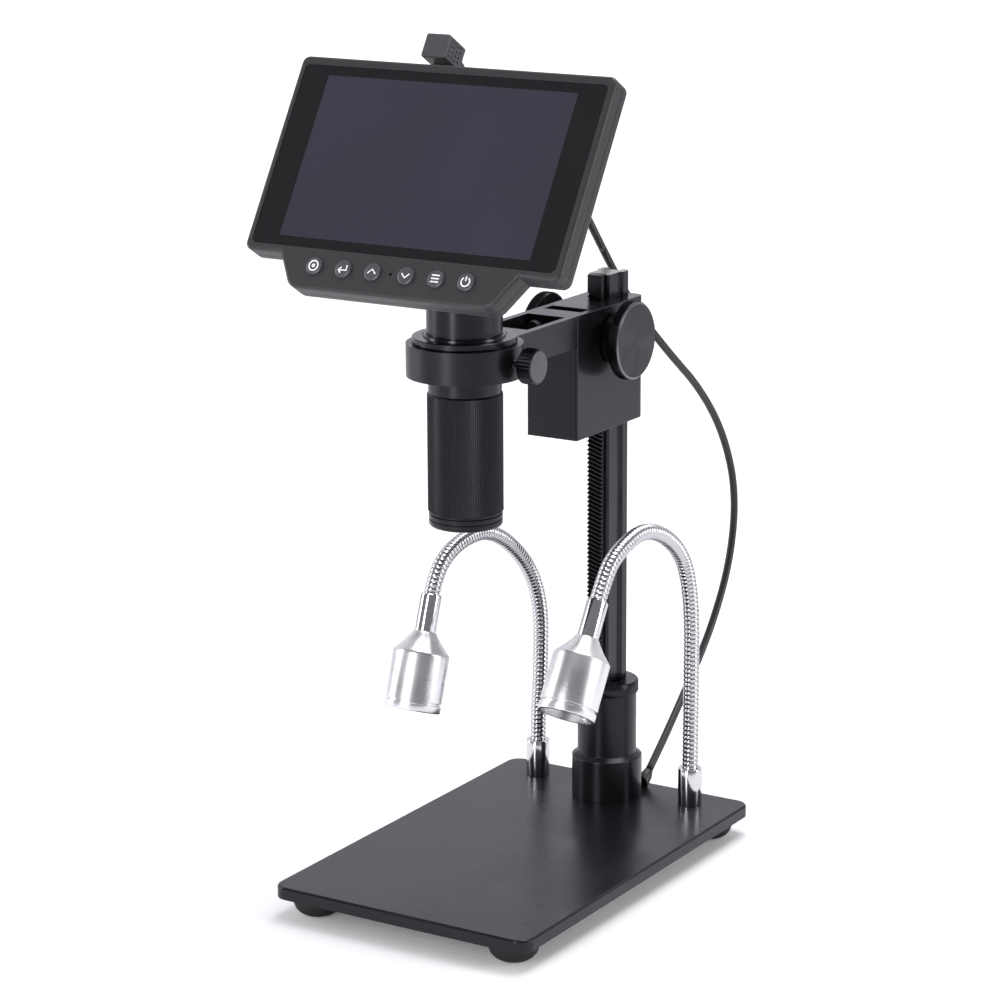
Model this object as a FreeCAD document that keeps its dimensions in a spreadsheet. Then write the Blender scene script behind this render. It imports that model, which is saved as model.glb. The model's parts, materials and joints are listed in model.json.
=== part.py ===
import FreeCAD, Part

import math
import os
import Sketcher

# A small digital microscope on a rack-and-pinion stand: a black anodised base plate, a
# T-section column with a helical rack, a focusing carriage with an arm and a clamp ring,
# a camera tube with a tilted screen head, and two lamps on gooseneck tubes.
# Z is up, Y runs from the user's side to the back, and the origin lies on the table
# under the middle of the base plate. All sizes are millimetres.

os.makedirs("parts", exist_ok=True)
doc = FreeCAD.newDocument("microscope")
sheet = doc.addObject("Spreadsheet::Sheet", "sizes")

SIZES = {
    # base plate and feet
    "plate_width": 115, "plate_depth": 180, "plate_thick": 5, "plate_corner": 6, "plate_edge": 0.6,
    "foot_dia": 20, "foot_height": 8, "foot_inset_side": 13, "foot_inset_end": 13, "foot_flat_dia": 6,
    "foot_stud_dia": 3.2, "foot_stud": 3, "seat_gap": 0.04, "base_bolt_dia": 5, "base_bolt_head": 8.5,
    "base_bolt_depth": 12,
    # column and its socket
    "column_y": 70, "column_height": 221, "neck_half": 4.8, "column_front": 8.2, "column_back": 6.6,
    "flange_half": 6, "flange_front": 1.6, "neck_end": 0.4, "slot_half": 3, "slot_floor": 3.6,
    "column_chamfer": 0.8, "rack_width": 6.4, "rack_seat": 1.4, "rack_tip": 11.3,
    "socket_low_dia": 29, "socket_low_height": 19, "socket_mid_dia": 24.4, "socket_mid_height": 26,
    "socket_taper": 1.6, "collar_dia": 26, "collar_height": 5.2, "socket_gap": 0.05,
    # rack and pinion
    "rack_pitch": 1.8, "helix_angle": 18, "pinion_teeth": 20, "rack_teeth": 88, "tooth_share": 0.43,
    "tooth_angle": 20, "tip_clearance": 0.16, "rack_start": 54, "pinion_face": 7, "shaft_dia": 5,
    "knob_dia": 31.4, "knob_rim": 5, "knob_hub_dia": 20, "knob_hub_length": 5.6,
    "knob_gap": 0.4, "knob_edge": 0.8, "flute_depth": 0.5, "bush_dia": 8, "bush_flange_dia": 11,
    "bush_flange": 0.8, "running_gap": 0.04,
    # focusing block
    "block_width": 23, "block_height": 50, "block_front": 25.5, "block_back": 79.5, "block_drop": 161,
    "block_back_round": 4, "block_front_round": 0.8, "slide_gap": 0.1, "pinion_bay": 0.5,
    "top_window_width": 17, "block_window_front": 33.5, "block_window_back": 40.2,
    "block_window_depth": 4,
    # arm and ring
    "arm_height": 12.5, "ring_y": -38.2, "ring_dia": 44.4, "ring_bore": 34, "arm_window_front": -7,
    "arm_window_back": 21.5, "arm_wall_floor": 2.5, "arm_screw_dia": 4, "arm_screw_head": 7,
    "arm_screw_length": 16, "arm_screw_offset": 4.8, "arm_screw_head_height": 3.5, "arm_screw_lift": 0.5,
    # clamp screw
    "clamp_thread": 4, "clamp_head_dia": 13.7, "clamp_head_length": 7.6, "clamp_reach": 2.6,
    "clamp_flutes": 20, "clamp_gap": 0.1,
    # camera tube and lens
    "adapter_lip_dia": 39.8, "adapter_lip": 2.6, "ring_fit": 0.05, "tube_dia": 28.8,
    "adapter_fit": 0.05, "smooth_length": 6.4, "smooth_dia": 27.8, "sleeve_dia": 28.8,
    "sleeve_length": 51.5, "lip_dia": 28,
    "lip_length": 5.6, "lens_core_dia": 22, "front_glass_dia": 18, "front_glass_thick": 3,
    "tube_top": 252, "tube_wall": 2, "sensor_board_thick": 1.6,
    "boss_dia": 33, "boss_low": 233.5,
    # screen head, in its own leaning frame
    "screen_y": -63.3, "screen_z": 280.8, "lean": 31.4, "head_width": 136, "head_top": 39.9,
    "head_low": 39, "head_corner": 3, "front_depth": 6, "rear_depth": 8, "shell_wall": 2.2,
    "chin_low": 52, "chin_top_half": 51.5, "chin_low_half": 43.5, "glass_width": 131,
    "glass_height": 72.6, "glass_thick": 1.1, "panel_width": 120, "panel_height": 70,
    "panel_thick": 3, "board_width": 124, "board_height": 56, "board_thick": 1.6,
    "rear_edge": 3, "front_edge": 1,
    # buttons
    "button_dia": 6.9, "button_pitch": 12.8, "button_middle": 14.4, "button_row": 43.2,
    "button_shift": -1.6, "button_proud": 0.9, "button_gap": 0.15, "button_edge": 0.5,
    "button_skirt_dia": 8.4, "button_skirt": 1, "switch_board_height": 9,
    # plug, cable and gland
    "plug_x": -13, "plug_width": 10.5, "plug_height": 9.6, "plug_length": 13, "plug_set": 2,
    "plug_gap": 3.6, "tongue_width": 7, "tongue_thick": 2, "tongue_length": 5, "relief_dia": 5.4,
    "relief_length": 7, "cable_dia": 3.2, "gland_x": 9.6, "gland_y": 84.6, "gland_dia": 5,
    "gland_length": 5, "gland_lean": 52,
    # lamps
    "lamp_x": 36.6, "lamp_y": 75.2, "base_ferrule_dia": 10,
    "base_ferrule_height": 16, "gooseneck_dia": 6.6, "ferrule_dia": 8.6, "ferrule_length": 15,
    "lamp_cone": 8.5, "lamp_dia": 22.8, "lamp_body": 20, "lamp_groove": 0.8, "bezel_length": 3.2,
    "lamp_wall": 1.6, "led_board_thick": 1.6, "led_depth": 7.2, "neck_seat": 3,
}
for row, (name, value) in enumerate(SIZES.items(), start=1):
    sheet.set(f"A{row}", name)
    sheet.set(f"B{row}", str(value))
    sheet.setAlias(f"B{row}", name)
doc.recompute()

X_AXIS = FreeCAD.Vector(1, 0, 0)
Y_AXIS = FreeCAD.Vector(0, 1, 0)
Z_AXIS = FreeCAD.Vector(0, 0, 1)
PLATE_TOP = "(foot_height + plate_thick)"
nodes = []


def size(text):
    """The number that a formula over the sheet's names gives."""
    return float(sheet.evalExpression(text))


def bound(text):
    """The same formula as an expression that other objects can follow."""
    words = []
    word = ""
    for letter in text + " ":
        if letter.isalnum() or letter == "_":
            word += letter
            continue
        words.append("sizes." + word if word in SIZES else word)
        words.append(letter)
        word = ""
    return "".join(words).strip()


def place(thing, x="0", y="0", z="0", axis=None, angle="0"):
    """Give an object a position, and a turn, that follow the sheet."""
    if axis is not None:
        thing.Placement = FreeCAD.Placement(FreeCAD.Vector(0, 0, 0), FreeCAD.Rotation(axis, size(angle)))
    thing.setExpression(".Placement.Base.x", bound(x))
    thing.setExpression(".Placement.Base.y", bound(y))
    thing.setExpression(".Placement.Base.z", bound(z))
    if axis is not None:
        thing.setExpression(".Placement.Rotation.Angle", bound(angle))
    return thing


def node(thing, label):
    """Mark an object as one separate piece of the microscope."""
    thing.Label = label
    nodes.append(thing)
    return thing


def new_body(label, **where):
    body = doc.addObject("PartDesign::Body", "body_" + label)
    place(body, **where)
    return node(body, label)


def plane_of(body, role):
    return next(f for f in body.Origin.OriginFeatures if f.Role == role)


def new_sketch(body, role="XY_Plane", offset="0"):
    sketch = body.newObject("Sketcher::SketchObject", body.Name + "_sketch")
    sketch.AttachmentSupport = [(plane_of(body, role), "")]
    sketch.MapMode = "FlatFace"
    if offset != "0":
        sketch.setExpression(".AttachmentOffset.Base.z", bound(offset))
    return sketch


def fix(sketch, kind, geometry, end, formula):
    """Hold one point of a sketch at a signed distance that follows the sheet."""
    value = size(formula)
    index = sketch.addConstraint(Sketcher.Constraint(kind, -1, 1, geometry, end, value))
    sketch.setExpression(f"Constraints[{index}]", bound(formula))


def outline(sketch, points):
    """A closed outline of straight sides, each corner held by two formulas."""
    spots = [FreeCAD.Vector(size(x), size(y), 0) for x, y in points]
    first = sketch.GeometryCount
    count = len(points)
    for i in range(count):
        sketch.addGeometry(Part.LineSegment(spots[i], spots[(i + 1) % count]), False)
    for i in range(count):
        joint = Sketcher.Constraint("Coincident", first + i, 2, first + (i + 1) % count, 1)
        sketch.addConstraint(joint)
    for i, (x, y) in enumerate(points):
        fix(sketch, "DistanceX", first + i, 1, x)
        fix(sketch, "DistanceY", first + i, 1, y)


def circle(sketch, x, y, diameter):
    centre = FreeCAD.Vector(size(x), size(y), 0)
    index = sketch.addGeometry(Part.Circle(centre, Z_AXIS, size(diameter) / 2), False)
    fix(sketch, "DistanceX", index, 3, x)
    fix(sketch, "DistanceY", index, 3, y)
    spot = sketch.addConstraint(Sketcher.Constraint("Diameter", index, size(diameter)))
    sketch.setExpression(f"Constraints[{spot}]", bound(diameter))


def rectangle(x0, y0, x1, y1):
    return [(x0, y0), (x1, y0), (x1, y1), (x0, y1)]


def mirrored(right):
    """A left and right outline from the points of its right half, front to back."""
    return right + [("-(" + x + ")", y) for x, y in reversed(right)]


def pad(body, sketch, length, backwards=False):
    feature = body.newObject("PartDesign::Pad", body.Name + "_pad")
    feature.Profile = sketch
    feature.Reversed = backwards
    feature.Length = size(length)
    feature.setExpression("Length", bound(length))
    return feature


def cut(body, sketch, length=None, backwards=False):
    """A pocket that must take something away; without a length it goes right through."""
    doc.recompute()
    before = body.Shape.Volume
    feature = body.newObject("PartDesign::Pocket", body.Name + "_pocket")
    feature.Profile = sketch
    feature.Reversed = backwards
    if length is None:
        feature.Type = "ThroughAll"
        feature.Midplane = True
    else:
        feature.Length = size(length)
        feature.setExpression("Length", bound(length))
    doc.recompute()
    if body.Shape.Volume > before - 1e-6:
        raise SystemExit("a pocket cuts nothing in " + body.Label)
    return feature


def around(body, feature, formula):
    """Repeat a feature round the body's own Z axis."""
    pattern = body.newObject("PartDesign::PolarPattern", body.Name + "_around")
    pattern.Originals = [feature]
    pattern.Axis = (plane_of(body, "Z_Axis"), [""])
    pattern.Angle = 360
    pattern.Occurrences = int(size(formula))
    pattern.setExpression("Occurrences", bound(formula))
    body.Tip = pattern
    return pattern


def turned(label, points, **where):
    """A piece turned about its own Z axis from a half profile of radius and height."""
    body = new_body(label, **where)
    sketch = new_sketch(body, "XZ_Plane")
    outline(sketch, points)
    spin = body.newObject("PartDesign::Revolution", body.Name + "_turned")
    spin.Profile = sketch
    spin.ReferenceAxis = (sketch, ["V_Axis"])
    spin.Angle = 360
    return body


def rounded(body, amount, chosen, kind="PartDesign::Fillet"):
    """Round or chamfer the edges that a test picks."""
    doc.recompute()
    base = body.Tip
    names = [f"Edge{i + 1}" for i, edge in enumerate(base.Shape.Edges) if chosen(edge)]
    if not names:
        raise SystemExit("no edge to round in " + body.Label)
    feature = body.newObject(kind, body.Name + "_edge")
    feature.Base = (base, names)
    bind = "Radius" if kind.endswith("Fillet") else "Size"
    setattr(feature, bind, size(amount))
    feature.setExpression(bind, bound(amount))
    return feature


def upright(edge):
    """True for a straight edge along Z."""
    low, high = edge.Vertexes[0].Point, edge.Vertexes[-1].Point
    return abs(low.x - high.x) < 1e-6 and abs(low.y - high.y) < 1e-6 and abs(low.z - high.z) > 1e-3


def flute(body, diameter, depth, count, low, high):
    """V-shaped flutes along a round piece, as a straight knurl."""
    doc.recompute()
    sketch = new_sketch(body, "XY_Plane", low)
    rim = f"({diameter}) / 2"
    outline(sketch, [(f"{rim} - {depth}", "0"), (f"{rim} + {depth} * 0.6", f"{depth} * 1.3"),
                     (f"{rim} + {depth} * 0.6", f"-{depth} * 1.3")])
    groove = cut(body, sketch, f"({high}) - ({low})", backwards=True)
    return around(body, groove, count)


def feature_from(shape, label):
    """A piece whose shape comes straight from formulas over the sheet."""
    thing = doc.addObject("Part::Feature", "piece_" + label)
    thing.Shape = shape
    thing.Placement = FreeCAD.Placement()
    return node(thing, label)


def cylinder(name, diameter, height, **where):
    thing = doc.addObject("Part::Cylinder", name)
    thing.setExpression("Radius", bound(f"({diameter}) / 2"))
    thing.setExpression("Height", bound(height))
    return place(thing, **where)


def box(name, width, depth, height, **where):
    thing = doc.addObject("Part::Box", name)
    thing.setExpression("Length", bound(width))
    thing.setExpression("Width", bound(depth))
    thing.setExpression("Height", bound(height))
    return place(thing, **where)


def joined(kind, name, base, tool):
    thing = doc.addObject("Part::" + kind, name)
    thing.Base = base
    thing.Tool = tool
    return thing


def together(name, shapes):
    thing = doc.addObject("Part::MultiFuse", name)
    thing.Shapes = shapes
    return thing


# Base plate: rounded corners, blind holes for the feet's studs and a bolt hole under the column.
FEET = [(sx, sy) for sx in (-1, 1) for sy in (-1, 1)]


def foot_spot(sx, sy):
    return (f"{sx} * (plate_width / 2 - foot_inset_side)", f"{sy} * (plate_depth / 2 - foot_inset_end)")


plate = new_body("base_plate", z="foot_height")
plan = new_sketch(plate)
outline(plan, rectangle("-plate_width / 2", "-plate_depth / 2", "plate_width / 2", "plate_depth / 2"))
pad(plate, plan, "plate_thick")
rounded(plate, "plate_corner", upright)
rounded(plate, "plate_edge", lambda e: abs(e.CenterOfMass.z - size("plate_thick")) < 1e-4,
        "PartDesign::Chamfer")
holes = new_sketch(plate)
for sx, sy in FEET:
    circle(holes, *foot_spot(sx, sy), "foot_stud_dia + 2 * seat_gap")
cut(plate, holes, "foot_stud + 0.3", backwards=True)
hole = new_sketch(plate)
circle(hole, "0", "column_y", "base_bolt_dia + 0.4")
cut(plate, hole)
well = new_sketch(plate)
circle(well, "0", "column_y", "base_bolt_head + 0.4")
cut(plate, well, "plate_thick / 2", backwards=True)

# Rubber feet: domed pads with a small flat to stand on and a stud pushed into the plate.
feet = []
for number, (sx, sy) in enumerate(FEET):
    x, y = foot_spot(sx, sy)
    foot = turned(f"foot_{number}", [
        ("0", "0"), ("foot_flat_dia / 2", "0"), ("foot_dia / 2 * 0.75", "foot_height * 0.2"),
        ("foot_dia / 2 * 0.95", "foot_height * 0.55"), ("foot_dia / 2", "foot_height"),
        ("foot_stud_dia / 2", "foot_height"), ("foot_stud_dia / 2", "foot_height + foot_stud"),
        ("0", "foot_height + foot_stud"),
    ], x=x, y=y)
    nodes.remove(foot)
    feet.append(foot)
compound = doc.addObject("Part::Compound", "rubber_feet_group")
compound.Links = feet
node(compound, "rubber_feet")

# Bolt from below into the column's foot.
bolt_head = cylinder("base_bolt_cap", "base_bolt_head", "plate_thick / 2 - 0.2", y="column_y",
                     z="foot_height + 0.2")
bolt_shank = cylinder("base_bolt_shank", "base_bolt_dia", "plate_thick + base_bolt_depth - 0.4",
                      y="column_y", z="foot_height + 0.2")
node(together("base_bolt_whole", [bolt_head, bolt_shank]), "base_bolt")

# Column section: a neck in front that carries the rack, a wider flange behind it and an
# open slot down the back.
SECTION = [
    ("rack_width / 2 + socket_gap", "-column_front"),
    ("neck_half - column_chamfer", "-column_front"),
    ("neck_half", "-column_front + column_chamfer"),
    ("neck_half", "neck_end"),
    ("flange_half", "flange_front"),
    ("flange_half", "column_back - 1.5 * column_chamfer"),
    ("flange_half - column_chamfer", "column_back"),
]
SLOT = [("slot_half", "column_back"), ("slot_half", "slot_floor")]
SEAT = [("rack_width / 2 + socket_gap", "-column_front + rack_seat")]
column = new_body("column_post", y="column_y", z=PLATE_TOP)
section = new_sketch(column)
outline(section, mirrored(SEAT + SECTION + SLOT))
pad(column, section, "column_height")
foot_hole = new_sketch(column)
circle(foot_hole, "0", "0", "base_bolt_dia + 2 * seat_gap")
cut(column, foot_hole, "base_bolt_depth + 1", backwards=True)


# The same section with a gap all round, for the pieces that the column passes through.
def grown(gap):
    return mirrored([
        (f"rack_width / 2 + {gap}", f"-rack_tip - {gap}"),
        (f"rack_width / 2 + {gap}", f"-column_front - {gap}"),
        (f"neck_half - column_chamfer + {gap}", f"-column_front - {gap}"),
        (f"neck_half + {gap}", f"-column_front + column_chamfer - {gap}"),
        (f"neck_half + {gap}", f"neck_end - {gap}"),
        (f"flange_half + {gap}", f"flange_front - {gap}"),
        (f"flange_half + {gap}", f"column_back - 1.5 * column_chamfer + {gap}"),
        (f"flange_half - column_chamfer + {gap}", f"column_back + {gap}"),
    ])


# Column socket: a turned base in two steps, and a split-looking collar on top of it.
SOCKET_TOP = "(socket_low_height + socket_mid_height)"
socket = turned("column_socket", [
    ("0", "0"), ("socket_low_dia / 2", "0"), ("socket_low_dia / 2", "socket_low_height - socket_taper"),
    ("socket_mid_dia / 2", "socket_low_height"), ("socket_mid_dia / 2", SOCKET_TOP), ("0", SOCKET_TOP),
], y="column_y", z=PLATE_TOP)
bore = new_sketch(socket)
outline(bore, grown("socket_gap"))
cut(socket, bore)
collar = turned("socket_collar", [
    ("0", "0"), ("collar_dia / 2", "0"), ("collar_dia / 2", "collar_height - 0.6"),
    ("collar_dia / 2 - 0.6", "collar_height"), ("0", "collar_height"),
], y="column_y", z=PLATE_TOP + " + " + SOCKET_TOP)
bore = new_sketch(collar)
outline(bore, grown("socket_gap"))
cut(collar, bore)

# Helical rack: a strip in the column's front, with slanted teeth cut one after another.
# The gap between two teeth that faces the pinion lies at the pinion's own height.
MODULE = "(rack_pitch / pi)"
PINION_Z = "(block_drop + block_height - 13.5)"
PINION_RADIUS = "(pinion_teeth * rack_pitch / (2 * pi))"
PITCH_LINE = "(rack_tip - " + MODULE + ")"
PINION_Y = "(column_y - " + PITCH_LINE + " - " + PINION_RADIUS + ")"
rack = new_body("gear_rack", y="column_y", z=PLATE_TOP)
strip = new_sketch(rack)
outline(strip, mirrored([("rack_width / 2", "-rack_tip"), ("rack_width / 2", "-column_front + rack_seat")]))
pad(rack, strip, "column_height")
doc.recompute()
tooth_space = new_sketch(rack, "YZ_Plane", "-rack_width / 2 - 1")
DEPTH = f"({MODULE} * 2 + tip_clearance)"
first_gap = f"({PINION_Z} - rack_pitch * floor(({PINION_Z} - rack_start) / rack_pitch))"
slope = "tan(helix_angle)"
lift = f"{first_gap} + (rack_width / 2 + 1) * {slope}"
half_gap = "rack_pitch * (1 - tooth_share) / 2"
mouth = f"({half_gap} + {MODULE} * 1.4 * tan(tooth_angle))"
floor_half = f"({half_gap} - ({MODULE} + tip_clearance) * tan(tooth_angle))"
outline(tooth_space, [
    (f"-rack_tip - {MODULE} * 0.4", f"{lift} - {mouth}"), (f"-rack_tip + {DEPTH}", f"{lift} - {floor_half}"),
    (f"-rack_tip + {DEPTH}", f"{lift} + {floor_half}"), (f"-rack_tip - {MODULE} * 0.4", f"{lift} + {mouth}"),
])
doc.recompute()
before = rack.Shape.Volume
tooth_cut = rack.newObject("PartDesign::Pocket", "rack_tooth_space")
tooth_cut.Profile = tooth_space
tooth_cut.UseCustomVector = True
tooth_cut.Direction = FreeCAD.Vector(1, 0, -math.tan(math.radians(size("helix_angle"))))
tooth_cut.setExpression("Direction.z", bound("-tan(helix_angle)"))
tooth_cut.AlongSketchNormal = False
tooth_cut.Length = size("rack_width * 2")
tooth_cut.setExpression("Length", bound("rack_width * 2"))
doc.recompute()
print("rack space direction", tooth_cut.Direction, "volume change", rack.Shape.Volume - before)
if rack.Shape.Volume > before - 1e-6:
    raise SystemExit("the rack's first tooth space cuts nothing")
teeth = rack.newObject("PartDesign::LinearPattern", "rack_teeth_pattern")
teeth.Originals = [tooth_cut]
teeth.Direction = (plane_of(rack, "Z_Axis"), [""])
teeth.Length = size("rack_pitch * (rack_teeth - 1)")
teeth.setExpression("Length", bound("rack_pitch * (rack_teeth - 1)"))
teeth.Occurrences = int(size("rack_teeth"))
teeth.setExpression("Occurrences", bound("rack_teeth"))
rack.Tip = teeth


# Pinion: involute teeth swept along the shaft, twisted to match the rack's slant.
def gear_outline():
    """The pinion's cross section at its left end: involute flanks from root to tip."""
    count = int(size("pinion_teeth"))
    pitch_r = size(PINION_RADIUS)
    tip_r = pitch_r + size(MODULE)
    root_r = pitch_r - size(MODULE) - size("tip_clearance")
    base_r = pitch_r * math.cos(math.radians(size("tooth_angle")))
    half = size("tooth_share") * math.pi / count
    start_x = -size("pinion_face") / 2
    start_turn = -start_x * math.tan(math.radians(size("helix_angle"))) / pitch_r

    def involute(radius):
        angle = math.acos(min(1, base_r / radius))
        return math.tan(angle) - angle

    points = []
    for tooth in range(count):
        middle = 2 * math.pi * tooth / count + start_turn
        radii = [root_r, pitch_r, tip_r]
        spread = [half + involute(pitch_r) - involute(max(r, base_r)) for r in radii]
        for r, a in zip(radii, spread):
            points.append((r, middle - a))
        for r, a in reversed(list(zip(radii, spread))):
            points.append((r, middle + a))
    spots = [FreeCAD.Vector(start_x, r * math.cos(a), r * math.sin(a)) for r, a in points]
    return Part.makePolygon(spots + [spots[0]])


face = size("pinion_face")
lead = 2 * math.pi * size(PINION_RADIUS) / math.tan(math.radians(size("helix_angle")))
guide = Part.makeHelix(lead, face, size(PINION_RADIUS), 0, True)
guide.rotate(FreeCAD.Vector(), Y_AXIS, 90)
guide.translate(FreeCAD.Vector(-face / 2, 0, 0))
spine = Part.Wire(Part.LineSegment(FreeCAD.Vector(-face / 2, 0, 0), FreeCAD.Vector(face / 2, 0, 0)).toShape())
sweep = Part.BRepOffsetAPI.MakePipeShell(spine)
sweep.setAuxiliarySpine(Part.Wire(guide.Edges), True, 0)
sweep.add(gear_outline())
sweep.build()
sweep.makeSolid()
gear = sweep.shape()
print("pinion volume", gear.Volume, "valid", gear.isValid())
block_half = size("block_width / 2")
shaft_reach = block_half + size("knob_gap + knob_hub_length + knob_rim") - 1.5
shaft = Part.makeCylinder(size("shaft_dia / 2"), 2 * shaft_reach, FreeCAD.Vector(-shaft_reach, 0, 0), X_AXIS)
pinion = feature_from(gear.fuse(shaft).removeSplitter(), "pinion_shaft")
place(pinion, y=PINION_Y, z=f"{PLATE_TOP} + {PINION_Z}")

# Bushes that carry the shaft in the block's two side walls.
WALL = "(block_width / 2 - pinion_face / 2 - pinion_bay)"
for side, sign in (("left", "-1"), ("right", "1")):
    turned(f"pinion_bush_{side}", [
        ("shaft_dia / 2 + running_gap", "0"), ("bush_dia / 2 - seat_gap", "0"),
        ("bush_dia / 2 - seat_gap", f"{WALL} - bush_flange"),
        ("bush_flange_dia / 2 - seat_gap", f"{WALL} - bush_flange"),
        ("bush_flange_dia / 2 - seat_gap", WALL), ("shaft_dia / 2 + running_gap", WALL),
    ], x=f"{sign} * (pinion_face / 2 + pinion_bay)", y=PINION_Y, z=f"{PLATE_TOP} + {PINION_Z}",
        axis=Y_AXIS, angle=f"{sign} * 90")

# Focusing knobs: plain rim, flat turned face and a smaller hub towards the block.
for side, sign in (("left", "-1"), ("right", "1")):
    rim = "(knob_hub_length + knob_rim)"
    turned(f"focus_knob_{side}", [
        ("shaft_dia / 2 + seat_gap", "0"), ("knob_hub_dia / 2", "0"), ("knob_hub_dia / 2", "knob_hub_length"),
        ("knob_dia / 2", "knob_hub_length"),
        ("knob_dia / 2", f"{rim} - knob_edge"), ("knob_dia / 2 - knob_edge", rim),
        ("0", rim), ("0", f"{rim} - 1.4"), ("shaft_dia / 2 + seat_gap", f"{rim} - 1.4"),
    ], x=f"{sign} * (block_width / 2 + knob_gap)", y=PINION_Y, z=f"{PLATE_TOP} + {PINION_Z}",
        axis=Y_AXIS, angle=f"{sign} * 90")

# Focusing block: it rides the column and holds the pinion in a bay in front of the rack.
block = new_body("focus_block", z=f"{PLATE_TOP} + block_drop")
plan = new_sketch(block)
outline(plan, rectangle("-block_width / 2", "block_front", "block_width / 2", "block_back"))
pad(block, plan, "block_height")
rounded(block, "block_back_round", lambda e: upright(e) and e.CenterOfMass.y > size("block_back") - 1)
rounded(block, "block_front_round", lambda e: upright(e) and e.CenterOfMass.y < size("block_front") + 1)
bore = new_sketch(block)
outline(bore, [(x, f"column_y + {y}") for x, y in grown("slide_gap")])
cut(block, bore)
window = new_sketch(block, "XY_Plane", "block_height")
outline(window, rectangle("-top_window_width / 2", "block_window_front", "top_window_width / 2",
                          "block_window_back"))
cut(block, window, "block_window_depth")
across = new_sketch(block, "YZ_Plane", "-block_width / 2")
circle(across, PINION_Y, f"{PINION_Z} - block_drop", "bush_dia")
cut(block, across, "block_width", backwards=True)
for low in ("-block_width / 2", "block_width / 2 - bush_flange"):
    seat = new_sketch(block, "YZ_Plane", low)
    circle(seat, PINION_Y, f"{PINION_Z} - block_drop", "bush_flange_dia")
    cut(block, seat, "bush_flange", backwards=True)
bay = new_sketch(block, "YZ_Plane", "-pinion_face / 2 - pinion_bay")
circle(bay, PINION_Y, f"{PINION_Z} - block_drop", f"2 * ({PINION_RADIUS} + {MODULE} + pinion_bay)")
cut(block, bay, "pinion_face + 2 * pinion_bay", backwards=True)
tapped = new_sketch(block, "XZ_Plane", "-block_front")
for sign in ("-1", "1"):
    circle(tapped, f"{sign} * arm_screw_offset", "block_height - arm_height / 2 + arm_screw_lift",
           "arm_screw_dia + 2 * seat_gap")
cut(block, tapped, "arm_screw_length / 2", backwards=False)

# Holder arm: one casting with the clamp ring, a long window on top and a screwed rear end.
arm = new_body("holder_arm", z=f"{PLATE_TOP} + block_drop + block_height - arm_height")
plan = new_sketch(arm)
outline(plan, rectangle("-block_width / 2", "ring_y", "block_width / 2", "block_front"))
pad(arm, plan, "arm_height")
ring = new_sketch(arm)
circle(ring, "0", "ring_y", "ring_dia")
pad(arm, ring, "arm_height")
hole = new_sketch(arm)
circle(hole, "0", "ring_y", "ring_bore")
cut(arm, hole)
window = new_sketch(arm, "XY_Plane", "arm_height")
outline(window, rectangle("-top_window_width / 2", "arm_window_front", "top_window_width / 2",
                          "arm_window_back"))
cut(arm, window, "arm_height - arm_wall_floor")
for sign in ("-1", "1"):
    drill = new_sketch(arm, "XZ_Plane", "-block_front")
    circle(drill, f"{sign} * arm_screw_offset", "arm_height / 2 + arm_screw_lift", "arm_screw_dia + 0.4")
    cut(arm, drill, "block_front - arm_window_back + 1", backwards=True)
tap = new_sketch(arm, "YZ_Plane", "ring_bore / 2 - 1")
circle(tap, "ring_y", "arm_height / 2", "clamp_thread + 2 * clamp_gap")
cut(arm, tap, "(ring_dia - ring_bore) / 2 + 3", backwards=True)

# Cap screws from the window into the block.
RING_MID = f"({PLATE_TOP} + block_drop + block_height - arm_height / 2)"
for side, sign in (("left", "-1"), ("right", "1")):
    shank = cylinder(f"arm_screw_{side}_shank", "arm_screw_dia",
                     "block_front - arm_window_back + arm_screw_length / 2 - 0.5",
                     x=f"{sign} * arm_screw_offset", y="arm_window_back",
                     z=RING_MID + " + arm_screw_lift",
                     axis=X_AXIS, angle="-90")
    head = cylinder(f"arm_screw_{side}_head", "arm_screw_head", "arm_screw_head_height",
                    x=f"{sign} * arm_screw_offset", y="arm_window_back - arm_screw_head_height",
                    z=RING_MID + " + arm_screw_lift",
                    axis=X_AXIS, angle="-90")
    node(together(f"arm_screw_{side}_whole", [shank, head]), f"arm_screw_{side}")

# Clamp screw through the ring: a fluted head on a thin threaded shank.
clamp_start = "(ring_bore / 2 + 0.2)"
shank_length = f"(ring_dia / 2 + clamp_reach - {clamp_start})"
clamp = turned("clamp_screw", [
    ("0", "0"), ("clamp_thread / 2 - 0.6", "0"), ("clamp_thread / 2", "0.6"),
    ("clamp_thread / 2", shank_length), ("clamp_head_dia / 2 - 0.8", shank_length),
    ("clamp_head_dia / 2", f"{shank_length} + 0.8"),
    ("clamp_head_dia / 2", f"{shank_length} + clamp_head_length - 0.8"),
    ("clamp_head_dia / 2 - 0.8", f"{shank_length} + clamp_head_length"),
    ("0", f"{shank_length} + clamp_head_length"),
], x=clamp_start, y="ring_y", z=RING_MID, axis=Y_AXIS, angle="90")
flute(clamp, "clamp_head_dia", "flute_depth", "clamp_flutes", shank_length + " + 0.8",
      shank_length + " + clamp_head_length - 0.8")

# Adapter ring: it hangs by its lip in the holder ring and carries the camera tube.
ARM_TOP = f"({PLATE_TOP} + block_drop + block_height)"
turned("adapter_ring", [
    ("tube_dia / 2 + adapter_fit", "-arm_height"), ("ring_bore / 2 - ring_fit", "-arm_height"),
    ("ring_bore / 2 - ring_fit", "ring_fit"), ("adapter_lip_dia / 2 - 0.6", "ring_fit"),
    ("adapter_lip_dia / 2", "0.6"), ("adapter_lip_dia / 2", "adapter_lip - 0.4"),
    ("adapter_lip_dia / 2 - 0.4", "adapter_lip"), ("tube_dia / 2 + 1.4", "adapter_lip"),
    ("tube_dia / 2 + adapter_fit", "adapter_lip - 1"),
], y="ring_y", z=ARM_TOP)

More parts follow.
